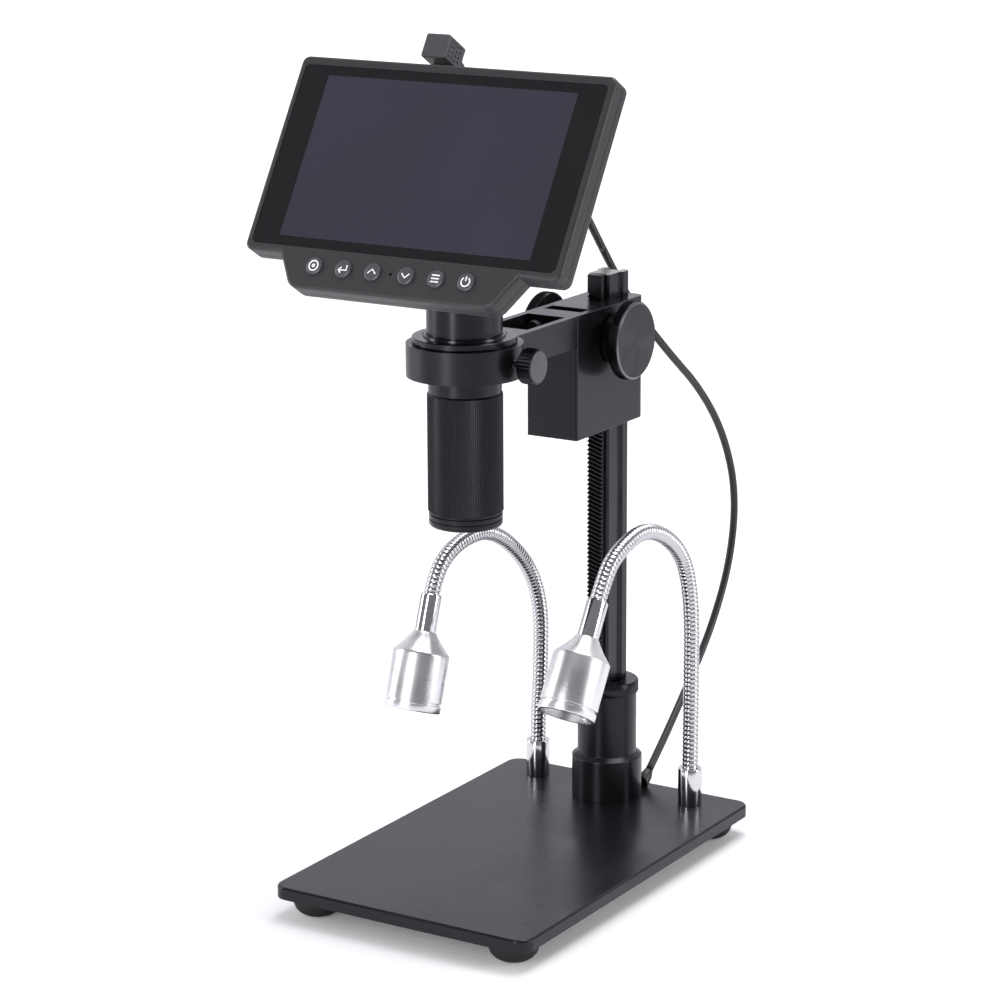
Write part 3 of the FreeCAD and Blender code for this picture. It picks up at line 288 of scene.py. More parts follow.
# %% [markdown]
# The bright metal is of three kinds. The goosenecks and their ferrules are chromed and mirror
# the room, the lamp heads are turned aluminium with a clear satin anodise, and screws and shaft
# are plain steel. A very low fine noise stands for the marks of tool and polish, and a broad
# one lets the shine vary a little from place to place.

# %% Bright metals
def bright(name, tint, rough, grain=0.15, depth=0.003):
    """Chromed, satin or turned metal with fine tool marks."""
    material, tree, output = new_material(name)
    place = add(tree, "TexCoord")
    marks = add(tree, "TexNoise", Vector=place.outputs["Object"], Scale=1 / (grain * MM), Detail=2.0)
    dust = add(tree, "TexNoise", Vector=place.outputs["Object"], Scale=1 / (12 * MM), Detail=4.0)
    shine = ranged(tree, dust.outputs["Fac"], 0.3, 0.7, rough * 0.8, rough * 1.2)
    bump = add(tree, "Bump", Strength=0.5, Distance=depth * MM, Height=marks.outputs["Fac"])
    shader = add(tree, "BsdfPrincipled", Base_Color=colour(tint), Metallic=1.0,
                 Roughness=shine.outputs[0], Normal=bump.outputs[0])
    tree.links.new(shader.outputs[0], output.inputs[0])
    return material


chrome = bright("chromed_brass", "#D6D6D9", 0.12)
wound_chrome = bright("chromed_wound_wire", "#C6C6CA", 0.20)
satin = bright("satin_anodised_aluminium", "#E4E4E7", 0.31, grain=0.2, depth=0.0003)
steel = bright("machined_steel", "#A9A9AC", 0.28, grain=0.2)
brass = bright("turned_brass", "#C9A055", 0.25)
mirror = bright("vapour_coated_reflector", "#E6E6E8", 0.10)
print("bright metals made")

# %% [markdown]
# The screen head is moulded ABS. The mould is spark-eroded, which leaves a very fine even
# texture, half a millimetre across here so that it shows, and a soft sheen. Rubber, boards and
# the cable's jacket use the same plan with other numbers.

# %% Moulded plastics
def moulded(name, tint, rough=0.45, grain=0.45, depth=0.012, coat=0.0):
    """Textured plastic or rubber: even colour, fine spark texture, slightly uneven sheen."""
    material, tree, output = new_material(name)
    place = add(tree, "TexCoord")
    fine = add(tree, "TexNoise", Vector=place.outputs["Object"], Scale=1 / (grain * MM), Detail=2.0)
    cells = add(tree, "TexVoronoi", Vector=place.outputs["Object"], Scale=1 / (1.4 * grain * MM))
    rise = add(tree, "Math", {"operation": "MULTIPLY_ADD"}, _0=cells.outputs["Distance"], _1=0.5,
               _2=fine.outputs["Fac"])
    tone = ranged(tree, fine.outputs["Fac"], 0.3, 0.7, 0.93, 1.07)
    base = add(tree, "Mix", {"data_type": "RGBA", "blend_type": "MULTIPLY"}, _0=1.0,
               _6=colour(tint), _7=tone.outputs[0])
    shine = ranged(tree, fine.outputs["Fac"], 0.3, 0.7, rough - 0.04, rough + 0.04)
    bump = add(tree, "Bump", Strength=0.4, Distance=depth * MM, Height=rise.outputs[0])
    shader = add(tree, "BsdfPrincipled", Base_Color=base.outputs[2], Roughness=shine.outputs[0],
                 Coat_Weight=coat, Normal=bump.outputs[0])
    tree.links.new(shader.outputs[0], output.inputs[0])
    return material


housing_plastic = moulded("moulded_abs_housing", "#2A2A2D", rough=0.46)
button_plastic = moulded("moulded_abs_button", "#46464B", rough=0.38, grain=0.3)
plug_plastic = moulded("moulded_pvc_plug", "#434347", rough=0.46)
cable_plastic = moulded("extruded_pvc_jacket", "#232325", rough=0.40, grain=0.8, depth=0.01)
rubber = moulded("moulded_rubber", "#1B1B1C", rough=0.75, grain=0.6, depth=0.02)
board_green = moulded("solder_mask_board", "#1E5A38", rough=0.35, grain=0.8)
for piece in (cable_lower, cable_upper):
    piece.data.materials.append(cable_plastic)
print("plastics made")


# %% [markdown]
# A CAD node is a net of loose triangles. A copy of it is merged, its flat faces are made whole
# again, and its edges get the small round that a real machined or moulded edge has. This keeps
# the exact shape and catches the light along every edge. The copy stands for the node.

# %% Dressing a CAD node
def shade(mesh, angle=30):
    """Smooth faces, with a crease where two of them meet at more than the angle."""
    for face in mesh.polygons:
        face.use_smooth = True
    mesh.set_sharp_from_angle(angle=math.radians(angle))


def settle(piece, material, body, slot, *nodes):
    """Give a piece its finish, let it ride on its body and stand for its CAD nodes."""
    piece.data.materials.clear()
    piece.data.materials.append(material)
    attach(piece, body)
    if nodes:
        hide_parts(*nodes)
    return piece


def body_and_slot(node):
    record = frame["record"]
    body = next(b for b, members in record["behaviour"]["bodies"].items() if node in members)
    slot = next(s["material_slot"] for s in record["subparts"] if s["node"] == node)
    return body, slot


def baked(piece):
    """The piece's mesh with its modifiers applied."""
    bpy.context.view_layer.update()
    graph = bpy.context.evaluated_depsgraph_get()
    done = bpy.data.meshes.new_from_object(piece.evaluated_get(graph))
    piece.modifiers.clear()
    piece.data = done
    return piece


def soften(piece, width, angle=35):
    """A small round on every real edge, and normals that keep the flat faces flat."""
    shade(piece.data)
    if width:
        bevel = piece.modifiers.new("edge", "BEVEL")
        bevel.width = width * MM
        bevel.segments = 2
        bevel.limit_method = "ANGLE"
        bevel.angle_limit = math.radians(angle)
    level = piece.modifiers.new("level", "WEIGHTED_NORMAL")
    level.keep_sharp = True
    return baked(piece)


def dressed(node, material, edge=0.25, angle=35):
    """A merged copy of a CAD node with softened edges, standing for it."""
    form = bmesh.new()
    form.from_mesh(frame["nodes"][node].data)
    bmesh.ops.remove_doubles(form, verts=form.verts, dist=0.002 * MM)
    bmesh.ops.dissolve_limit(form, angle_limit=math.radians(0.6), verts=form.verts,
                             edges=form.edges)
    piece = soften(as_object(node + "_dressed", form), edge, angle)
    body, slot = body_and_slot(node)
    return settle(piece, material, body, slot, node)


dressed("base_plate", plate_black, 0.2)
dressed("column_post", column_black, 0.12)
dressed("focus_block", block_black, 0.25)
dressed("holder_arm", block_black, 0.25)
dressed("column_socket", block_black, 0.2)
dressed("gear_rack", rack_black, 0)
dressed("cable_gland", cable_plastic, 0.15)
print("stand dressed")


# %% [markdown]
# Round parts of the real stand come off a lathe, and so they do here: a half profile is spun
# about its axis in one full turn. A knurled rim is the same spin with twice as many steps as
# ridges, where every other row of points in the rim is then pulled in by the ridge's depth.

# %% Turning
def turned(name, profile, place, steps=96, ridges=None):
    """Spin a closed profile of (radius, height) in mm about Z, then put it in place."""
    form = bmesh.new()
    spots = [form.verts.new((r * MM, 0, z * MM)) for r, z in profile]
    sides = [form.edges.new((a, b)) for a, b in zip(spots, spots[1:] + spots[:1])
             if not (a.co.x < 1e-9 and b.co.x < 1e-9)]
    steps = 2 * ridges["count"] if ridges else steps
    bmesh.ops.spin(form, geom=spots + sides, cent=(0, 0, 0), axis=(0, 0, 1), angle=2 * math.pi,
                   steps=steps, use_merge=True)
    bmesh.ops.remove_doubles(form, verts=form.verts, dist=0.001 * MM)
    if ridges:
        low, high = (value * MM for value in ridges["zone"])
        outside = ridges["radius"] * MM
        for spot in form.verts:
            reach = math.hypot(spot.co.x, spot.co.y)
            step = round(math.atan2(spot.co.y, spot.co.x) / (2 * math.pi) * steps)
            if step % 2 and low < spot.co.z < high and abs(reach - outside) < 0.05 * MM:
                share = 1 - ridges["depth"] * MM / reach
                spot.co.x *= share
                spot.co.y *= share
    bmesh.ops.recalc_face_normals(form, faces=form.faces)
    bmesh.ops.transform(form, matrix=place, verts=form.verts)
    piece = as_object(name, form)
    shade(piece.data, ridges.get("crease", 30) if ridges else 30)
    return piece


def standing(x, y, z):
    return Matrix.Translation(Vector((x, y, z)) * MM)


def across(x, y, z, sign):
    """A turned piece whose axis runs to the right, or to the left where sign is negative."""
    return standing(x, y, z) @ Matrix.Rotation(sign * math.pi / 2, 4, "Y")


def along(tip, axis):
    turn = Vector((0, 0, 1)).rotation_difference(Vector(axis)).to_matrix().to_4x4()
    return standing(*tip) @ turn


FEET = [(-44.5, -77), (-44.5, 77), (44.5, -77), (44.5, 77)]
for number, (x, y) in enumerate(FEET, start=1):
    foot = turned(f"foot_{number}_domed", [
        (0, 0), (3.0, 0), (4.8, 0.2), (6.4, 0.7), (7.8, 1.6), (8.9, 2.9), (9.6, 4.6), (9.9, 6.2),
        (10, 7.8), (9.8, 8), (1.6, 8), (1.6, 11), (0, 11)], standing(x, y, 0), steps=64)
    settle(foot, rubber, "base", "rubber", "rubber_feet")
RING_Y, ARM_TOP = -38.2, 224
adapter = turned("adapter_ring_turned", [
    (14.45, -12.5), (16.95, -12.5), (16.95, 0.05), (19.6, 0.05), (19.9, 0.35), (19.9, 2.3),
    (19.6, 2.6), (16.6, 2.6), (16.3, 2.3), (15.6, 2.3), (15.3, 3.2), (14.7, 3.3), (14.45, 3.1),
], standing(0, RING_Y, ARM_TOP))
settle(adapter, knob_black, "camera_head", "black_metal", "adapter_ring")
camera_tube = turned("camera_tube_turned", [
    (12.4, -13.5), (14.4, -13.5), (14.4, 40.9), (12.4, 40.9)], standing(0, RING_Y, ARM_TOP))
settle(camera_tube, knob_black, "camera_head", "black_metal", "camera_tube")
collar = turned("lens_collar_turned", [
    (9.4, -53.4), (11, -53.4), (11, -5.4), (13.9, -5.4), (13.9, -0.3), (13.6, 0), (9.4, 0),
], standing(0, RING_Y, 210.5))
settle(collar, knob_black, "camera_head", "black_metal", "lens_core")
print("turned the camera tube's pieces")

# %% [markdown]
# The focusing sleeve is gripped to bring the picture into focus, so nearly its whole length
# has a fine straight knurl of about 0.9 mm, with a plain grooved lip below it.

# %% Knurled sleeve
SLEEVE_TOP = 204.9
sleeve = turned("focus_sleeve_knurled", [
    (11.04, 0), (13.9, 0), (14.4, -0.5), (14.4, -45.6), (13.5, -46.0), (13.5, -46.7),
    (14.05, -47.0), (14.05, -48.3), (13.6, -48.5), (13.6, -48.9), (14.05, -49.1), (14.05, -50.6),
    (13.7, -51.2), (13.2, -51.5), (9.6, -51.5), (9.0, -50.9), (9.0, -48.1), (11.04, -48.1),
], standing(0, RING_Y, SLEEVE_TOP),
    ridges={"count": 100, "zone": (-45.8, -0.4), "radius": 14.4, "depth": 0.28, "crease": 15})
settle(sleeve, knurl_black, "lens_sleeve", "knurled", "focus_sleeve")
print("sleeve has", len(sleeve.data.polygons), "faces")

# %% [markdown]
# The two focusing knobs are alike: a knurled rim, a flat face with the lathe's fine rings, a
# narrow chamfer painted paler as a highlight along the face's edge, and a smaller hub towards the
# block. Fine rings spread a highlight into two opposite cones, so the face's material is
# anisotropic, with its tangent turned round the knob's own axis.

# %% Focusing knobs
PINION_Y, PINION_Z, KNOB_X = 53.54, 210.5, 11.9
# The chamfer's paler metal is a painted highlight: it stands for the thin line of light along the knob's
# edge.
painted_highlight_edge = bright("chamfer_painted_highlight", "#77777B", 0.35)
ringed, tree, output = new_material("turned_anodised_face")
spot = add(tree, "VectorMath", {"operation": "SUBTRACT"},
           _0=add(tree, "TexCoord").outputs["Object"], _1=(0, PINION_Y * MM, PINION_Z * MM))
parts = add(tree, "SeparateXYZ", Vector=spot.outputs[0])
flipped = add(tree, "Math", {"operation": "MULTIPLY"}, _0=parts.outputs["Z"], _1=-1)
round_axis = add(tree, "VectorMath", {"operation": "NORMALIZE"},
                 _0=add(tree, "CombineXYZ", Y=flipped.outputs[0], Z=parts.outputs["Y"]).outputs[0])
way = add(tree, "VectorTransform", {"vector_type": "VECTOR", "convert_from": "OBJECT",
                                    "convert_to": "WORLD"}, Vector=round_axis.outputs[0])
distance = add(tree, "VectorMath", {"operation": "LENGTH"},
               _0=add(tree, "CombineXYZ", Y=parts.outputs["Y"], Z=parts.outputs["Z"]).outputs[0])
rings = add(tree, "TexNoise", {"noise_dimensions": "1D"}, W=distance.outputs["Value"],
            Scale=1 / (0.4 * MM), Detail=3.0)
bump = add(tree, "Bump", Strength=0.3, Distance=0.004 * MM, Height=rings.outputs["Fac"])
shader = add(tree, "BsdfPrincipled", Base_Color=colour("#3A3A3E"), Metallic=0.7, Roughness=0.36,
             Anisotropic=0.85, Tangent=way.outputs[0], Normal=bump.outputs[0])
tree.links.new(shader.outputs[0], output.inputs[0])
for side, sign in (("left", -1), ("right", 1)):
    place = across(sign * KNOB_X, PINION_Y, PINION_Z, sign)
    knob = turned(f"focus_knob_{side}_knurled", [
        (2.54, 0), (9.6, 0), (10, 0.4), (10, 5.0), (10.4, 5.6), (15.0, 5.6), (15.7, 6.2),
        (15.7, 9.6), (15.3, 10.0), (14.5, 10.6), (3.2, 10.6), (0, 10.6), (0, 9.2), (2.54, 9.2),
    ], place,
        ridges={"count": 90, "zone": (5.9, 9.9), "radius": 15.7, "depth": 0.4, "crease": 15})
    settle(knob, knob_black, "pinion", "black_metal", f"focus_knob_{side}")
    # The chamfer ring carries the painted highlight.
    edge = turned(f"focus_knob_{side}_chamfer", [
        (14.55, 10.2), (15.25, 10.02), (15.3, 10.06), (14.6, 10.64)], place)
    settle(edge, painted_highlight_edge, "pinion", "steel")
    face = turned(f"focus_knob_{side}_face", [
        (0, 10.5), (14.5, 10.5), (14.5, 10.66), (0, 10.66)], place)
    settle(face, ringed, "pinion", "black_metal")
print("knobs turned")

# %% [markdown]
# The clamp screw has a fluted head that fingers can turn, with a worn face, and a fine thread.
# The thread's ridges are rings here, because a slope of 0.85 mm in a turn can't be seen on a
# 4 mm screw.

# %% Clamp screw
CLAMP_X, CLAMP_Z = 17.2, 217.75
thread = []
for i in range(9):
    low = 0.6 + i * 0.85
    thread += [(2.0, low), (1.68, low + 0.42)]
clamp = turned("clamp_screw_threaded", [(0, 0), (1.5, 0)] + thread + [
    (2.0, 8.3), (2.6, 8.3), (2.6, 9.2), (6.3, 9.2), (6.85, 9.7), (6.85, 14.5), (6.5, 15.0), (5.9, 15.2),
    (0, 15.2)], across(CLAMP_X, RING_Y, CLAMP_Z, 1),
    ridges={"count": 30, "zone": (9.5, 14.8), "radius": 6.85, "depth": 0.6, "crease": 25})
settle(clamp, knob_black, "clamp", "black_metal", "clamp_screw")
worn = anodised("worn_anodised_aluminium", "#58585B", rough=0.42, grain=1.1)
face = turned("clamp_screw_face", [(0, 15.12), (5.95, 15.12), (5.9, 15.25), (4.2, 15.3), (0, 15.3)],
              across(CLAMP_X, RING_Y, CLAMP_Z, 1), steps=48)
settle(face, worn, "clamp", "black_metal")
print("clamp screw turned")

# %% [markdown]
# The socket's collar has fine lines down its rim, so it is knurled too.

# %% Collar
collar_ring = turned("socket_collar_knurled", [
    (6.9, 0), (12.7, 0), (13, 0.3), (13, 4.6), (12.4, 5.2), (6.9, 5.2),
], standing(0, 70, 58), ridges={"count": 80, "zone": (0.2, 4.8), "radius": 13, "depth": 0.22, "crease": 50})
settle(collar_ring, block_black, "base", "black_metal", "socket_collar")

# %% [markdown]
# Each lamp stands in a chromed ferrule on the plate. The neck is a wire-wound tube in one easy
# bow, and the head is a satin cylinder with a recessed reflector and a single warm LED. All the
# head's pieces are turned on one axis, from the neck's tip along the way the lamp points.

# %% Lamps
LAMP_X, LAMP_Y, PLATE_TOP = 36.6, 75.2, 13
NECK_RADIUS, WIRE_PITCH, WIRE_DEPTH = 3.3, 1.9, 0.4
NECKS = {
    "right": [(75.2, 17.6), (75.2, 37), (75.4, 63), (75.2, 103), (65, 125.5), (37.5, 140.5),
              (12.5, 135), (3.38, 126.89), (-2.86, 116.64)],
    "left": [(75.2, 17.6), (75.2, 37), (77.5, 61), (78, 89), (65, 111), (37.5, 130),
             (12, 129.5), (-3.46, 121.11), (-7.38, 109.76)],
}
LAMP_AIM = {"right": ((LAMP_X, -1.3, 119.2), (0, -0.52009, -0.85411)),
            "left": ((-LAMP_X, -6.4, 112.6), (0, -0.32632, -0.94526))}
led_glow = moulded("led_phosphor", "#E9DC8A", rough=0.3, grain=0.5, coat=0.5)
for side, sign in (("right", 1), ("left", -1)):
    neck_line = nurbs_line("neck_line", [(sign * LAMP_X, y, z) for y, z in NECKS[side]])
    neck = tube(f"gooseneck_{side}_wound", neck_line, NECK_RADIUS * MM, sides=36,
                pitch=WIRE_PITCH * MM, depth=WIRE_DEPTH * MM)
    neck.data.materials.append(wound_chrome)
    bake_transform(neck)
    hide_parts(f"gooseneck_{side}")
    foot = turned(f"lamp_foot_{side}_turned", [
        (0, 0), (4.9, 0), (5, 0.2), (5, 15.3), (4.8, 15.8), (4.3, 16), (3.34, 16), (3.34, 4.3),
        (0, 4.3)], standing(sign * LAMP_X, LAMP_Y, PLATE_TOP))
    settle(foot, chrome, "base", "chrome", f"lamp_foot_{side}")
    pose = along(*LAMP_AIM[side])
    body = f"lamp_{side}"
    ferrule = turned(f"lamp_ferrule_{side}_turned", [
        (3.34, 0), (3.9, 0), (4.2, 0.3), (4.3, 0.7), (4.3, 14.9), (0, 15), (0, 4), (3.34, 4)], pose)
    settle(ferrule, chrome, body, "chrome", f"lamp_ferrule_{side}")
    shell = turned(f"lamp_head_{side}_turned", [
        (0, 15), (4.5, 15), (4.9, 15.4), (5.4, 16.4), (8.0, 19.9), (10.8, 22.9), (11.2, 23.4),
        (11.4, 24.1), (11.4, 42.5), (11.2, 42.7), (10.7, 42.75), (10.7, 43.5), (9.8, 43.5),
        (9.8, 25.5), (0, 25.5)], pose)
    settle(shell, satin, body, "satin", f"lamp_head_{side}")
    rim = turned(f"lamp_bezel_{side}_turned", [
        (9.8, 43.5), (11.2, 43.5), (11.4, 43.7), (11.4, 46.0), (11.1, 46.55), (10.7, 46.7),
        (10.1, 46.7), (9.8, 46.4)], pose)
    settle(rim, satin, body, "satin", f"lamp_bezel_{side}")
    dish = turned(f"lamp_reflector_{side}_turned", [
        (3.2, 36.3), (4.0, 36.3), (5.9, 38.0), (7.9, 40.0), (9.1, 41.6), (9.7, 42.3),
        (9.7, 43.1), (8.9, 43.1), (8.2, 42.0), (7.1, 40.4), (5.1, 38.4)], pose)
    settle(dish, mirror, body, "reflector", f"lamp_reflector_{side}")
    chip = turned(f"lamp_led_{side}_turned", [
        (0, 34.7), (9.7, 34.7), (9.7, 36.3), (2.6, 36.3), (2.6, 37.5), (2.1, 37.9), (1.2, 38.2),
        (0, 38.3)], pose)
    settle(chip, led_glow, body, "board", f"lamp_led_board_{side}")
print("lamps made")

# %% [markdown]
# The screen head leans back, so its pieces are made flat in their own frame, with X across, Y
# up the screen and Z out of it, and then put in place by one matrix. The front frame is an
# extruded outline with rounded corners, a softened rim, a shallow recess for the cover glass,
# six holes for the buttons and a pinhole for a signal light.

# %% Screen frame
LEAN = math.radians(31.4)
HEAD = standing(0, -63.3, 293.8) @ Matrix.Rotation(math.pi / 2 - LEAN, 4, "X")
OUTLINE = [(-68, 39.9), (-68, -39), (-51.5, -39), (-43.5, -52),
           (43.5, -52), (51.5, -39), (68, -39), (68, 39.9)]
INNER = [(-51.5, -39), (51.5, -39)]
FRAME_BACK, TRAY_RIM, TRAY_FLOOR = -6, -9.6, -14
BUTTONS = [-34.4, -21.6, -8.8, 5.6, 18.4, 31.2]
BUTTON_ROW, BUTTON_HOLE = -43.2, 3.6
LIGHT_HOLE_X = -1.3


def box_outline(left, bottom, right, top):
    return [(left, top), (left, bottom), (right, bottom), (right, top)]


def rounded(form, edges, offset, segments):
    """A round of one radius in mm on some edges of a bmesh."""
    bmesh.ops.bevel(form, geom=edges, offset=offset * MM, offset_type="OFFSET", segments=segments,
                    profile=0.5, affect="EDGES", material=-1, clamp_overlap=True)


def slab(outline, low, high, corner, keep_sharp=()):
    """A flat plate from an outline, with rounded corners, as a bmesh in the head's frame."""
    form = bmesh.new()
    spots = [form.verts.new((x * MM, y * MM, low * MM)) for x, y in outline]
    face = form.faces.new(spots)
    grown = bmesh.ops.extrude_face_region(form, geom=[face])
    moved = [g for g in grown["geom"] if isinstance(g, bmesh.types.BMVert)]
    bmesh.ops.translate(form, verts=moved, vec=(0, 0, (high - low) * MM))
    if corner:
        posts = [e for e in form.edges if abs(e.verts[0].co.z - e.verts[1].co.z) > 1e-6 and not any(
            abs(e.verts[0].co.x - x * MM) < 1e-6 and abs(e.verts[0].co.y - y * MM) < 1e-6
            for x, y in keep_sharp)]
        rounded(form, posts, corner, 8)
    bmesh.ops.recalc_face_normals(form, faces=form.faces)
    return form


def rim_edges(form, height):
    return [e for e in form.edges if all(abs(v.co.z - height * MM) < 1e-6 for v in e.verts)]


def pin(radius, depth, segments, spot):
    """A cutter for a round hole."""
    form = bmesh.new()
    bmesh.ops.create_cone(form, cap_ends=True, segments=segments, radius1=radius * MM,
                          radius2=radius * MM, depth=depth * MM, matrix=standing(*spot))
    return as_object("cutter", form)


def carved(piece, cutter):
    """Take the cutter's shape out of a piece, and drop the cutter."""
    carve = piece.modifiers.new("carve", "BOOLEAN")
    carve.operation = "DIFFERENCE"
    carve.solver = "EXACT"
    carve.object = cutter
    baked(piece)
    bpy.data.objects.remove(cutter)
    return piece


form = slab(OUTLINE, FRAME_BACK, 0, 3, INNER)
rounded(form, rim_edges(form, 0), 1.3, 4)
rounded(form, rim_edges(form, FRAME_BACK), 0.25, 2)
front_frame = as_object("screen_frame_moulded", form)
recess = slab(box_outline(-65.5, -36.3, 65.5, 36.3), -1.2, 1, 2)
carved(front_frame, as_object("cutter", recess))
window = slab(box_outline(-60.2, -35.2, 60.2, 35.2), -7, 0, 1)
carved(front_frame, as_object("cutter", window))
for u in BUTTONS:
    carved(front_frame, pin(BUTTON_HOLE, 14, 48, (u, BUTTON_ROW, -3)))
carved(front_frame, pin(0.6, 4, 24, (LIGHT_HOLE_X, BUTTON_ROW, 0)))
front_frame.data.transform(HEAD)
soften(front_frame, 0)
settle(front_frame, housing_plastic, "camera_head", "housing", "screen_front_housing")
print("screen frame has", len(front_frame.data.polygons), "faces")

# %% [markdown]
# The rear tray has the same outline and narrows to a smaller floor at the back. Screws hold it
# to the frame, slots beside the camera tube's boss let the heat out, and a narrow port in its
# top wall takes the plug.

# %% Rear tray
TRAY_SCREWS = [(-60, 32), (60, 32), (-60, -31), (60, -31)]
VENTS = (-52, -45, -38, 38, 45, 52)
NARROW_X, NARROW_Y, MIDDLE_Y = 63 / 68, 0.891, -6.05 * MM
form = slab(OUTLINE, TRAY_RIM, FRAME_BACK - 0.03, 3, INNER)
floor = next(f for f in form.faces if all(abs(v.co.z - TRAY_RIM * MM) < 1e-6 for v in f.verts))
rim = list(floor.verts)
form.faces.remove(floor)
low = [form.verts.new((v.co.x * NARROW_X, MIDDLE_Y + (v.co.y - MIDDLE_Y) * NARROW_Y,
                       TRAY_FLOOR * MM)) for v in rim]
for number in range(len(rim)):
    form.faces.new((rim[number - 1], rim[number], low[number], low[number - 1]))
form.faces.new(low)
bmesh.ops.recalc_face_normals(form, faces=form.faces)
rounded(form, rim_edges(form, TRAY_FLOOR) + rim_edges(form, TRAY_RIM), 0.9, 4)
rear_tray = as_object("rear_tray_moulded", form)
for u in VENTS:
    carved(rear_tray, as_object("cutter", slab(box_outline(u - 1.1, -8, u + 1.1, 18), -16, -11.8, 1)))
for u, v in TRAY_SCREWS:
    carved(rear_tray, pin(2.6, 4, 32, (u, v, TRAY_FLOOR)))
port = slab(box_outline(-16.7, 34.9, -9.3, 41), -11.2, -8.8, 0)
carved(rear_tray, as_object("cutter", port))
rear_tray.data.transform(HEAD)
soften(rear_tray, 0)
settle(rear_tray, housing_plastic, "camera_head", "housing", "screen_rear_housing")
for number, (u, v) in enumerate(TRAY_SCREWS, start=1):
    screw = turned(f"tray_screw_{number}", [
        (0, 0.5), (0.5, 0.5), (0.9, 0.1), (1.0, -0.1), (1.6, -0.25), (2.1, 0.1), (2.2, 0.6),
        (2.2, 1.2), (0, 1.2)], HEAD @ standing(u, v, TRAY_FLOOR + 0.8), steps=32)
    settle(screw, steel, "camera_head", "steel")
print("rear tray has", len(rear_tray.data.polygons), "faces")

# %% [markdown]
# The boss runs straight down from the leaning tray to the tube. It is turned, and then cut off
# along the tray's back face, where it is sunk half a millimetre into the tray.

# %% Tube boss
form = bmesh.new()
profile = [(14.45, 246.5), (15.9, 246.5), (16.4, 247.0), (16.5, 247.5), (16.5, 320), (14.45, 320)]
spots = [form.verts.new((r * MM, 0, z * MM)) for r, z in profile]
sides = [form.edges.new((a, b)) for a, b in zip(spots, spots[1:] + spots[:1])]
bmesh.ops.spin(form, geom=spots + sides, cent=(0, 0, 0), axis=(0, 0, 1), angle=2 * math.pi,
               steps=96, use_merge=True)
bmesh.ops.remove_doubles(form, verts=form.verts, dist=0.001 * MM)
bmesh.ops.recalc_face_normals(form, faces=form.faces)
bmesh.ops.translate(form, verts=form.verts, vec=(0, RING_Y * MM, 0))
outward = HEAD.to_3x3() @ Vector((0, 0, 1))
cut_spot = HEAD @ Vector((0, 0, (TRAY_FLOOR + 0.5) * MM))
made = bmesh.ops.bisect_plane(form, geom=form.verts[:] + form.edges[:] + form.faces[:], plane_co=cut_spot,
                              plane_no=outward, clear_outer=True)
rim = [g for g in made["geom_cut"] if isinstance(g, bmesh.types.BMEdge)]
bmesh.ops.holes_fill(form, edges=rim, sides=0)
boss = as_object("tube_boss_moulded", form)
shade(boss.data, 40)
settle(boss, housing_plastic, "camera_head", "housing")
print("boss has", len(boss.data.polygons), "faces")

# %% [markdown]
# The cover glass carries a black printed border, and the panel shows through its window. A
# screen that is switched off isn't black: it is a dark grey with a cold cast under a gloss that
# mirrors the room. The glass is one opaque piece, with both tones mixed by place in the head's
# own frame, and a clear coat over them.

# %% Cover glass
WINDOW_HALF = (54.0, 32.4)
cover_glass, tree, output = new_material("printed_cover_glass")
place = add(tree, "TexCoord")
turned_back = add(tree, "Mapping", {"vector_type": "TEXTURE"}, Vector=place.outputs["Object"],
                  Location=HEAD.translation, Rotation=HEAD.to_euler())
parts = add(tree, "SeparateXYZ", Vector=turned_back.outputs[0])
wide = add(tree, "Math", {"operation": "ABSOLUTE"}, _0=parts.outputs["X"])
tall = add(tree, "Math", {"operation": "ABSOLUTE"}, _0=parts.outputs["Y"])
in_wide = add(tree, "Math", {"operation": "LESS_THAN"}, _0=wide.outputs[0],
              _1=WINDOW_HALF[0] * MM)
in_tall = add(tree, "Math", {"operation": "LESS_THAN"}, _0=tall.outputs[0],
              _1=WINDOW_HALF[1] * MM)
window = add(tree, "Math", {"operation": "MULTIPLY"}, _0=in_wide.outputs[0], _1=in_tall.outputs[0])
cloud = add(tree, "TexNoise", Vector=place.outputs["Object"], Scale=1 / (60 * MM), Detail=1.0)
panel_tone = add(tree, "Mix", {"data_type": "RGBA"}, _0=cloud.outputs["Fac"], _6=colour("#2E2C37"),
                 _7=colour("#373542"))
tones = add(tree, "Mix", {"data_type": "RGBA"}, _0=window.outputs[0], _6=colour("#131216"),
            _7=panel_tone.outputs[2])
smear = add(tree, "TexNoise", Vector=place.outputs["Object"], Scale=1 / (25 * MM), Detail=3.0)
rough = ranged(tree, smear.outputs["Fac"], 0.3, 0.8, 0.12, 0.22)
shader = add(tree, "BsdfPrincipled", Base_Color=tones.outputs[2], Roughness=rough.outputs[0],
             Coat_Weight=0.3, Coat_Roughness=0.05)
tree.links.new(shader.outputs[0], output.inputs[0])
form = slab(box_outline(-65.4, -36.2, 65.4, 36.2), -1.2, -0.12, 1.9)
rounded(form, rim_edges(form, -0.12), 0.15, 2)
glass = as_object("cover_glass_printed", form)
glass.data.transform(HEAD)
soften(glass, 0)
settle(glass, cover_glass, "camera_head", "screen", "screen_glass")
print("cover glass made")

# %% [markdown]
# Six round buttons carry generic signs, printed white: a ring with a dot, a return mark, two
# chevrons, three bars and a power sign. Each cap is a turned dome, and each sign is a flat
# outline a few hundredths of a millimetre thick that rides on its own cap.

# %% Buttons and signs
SIGN_SCALE, STROKE_WIDTH, INK_THICK = 1.4, 0.55, 0.05


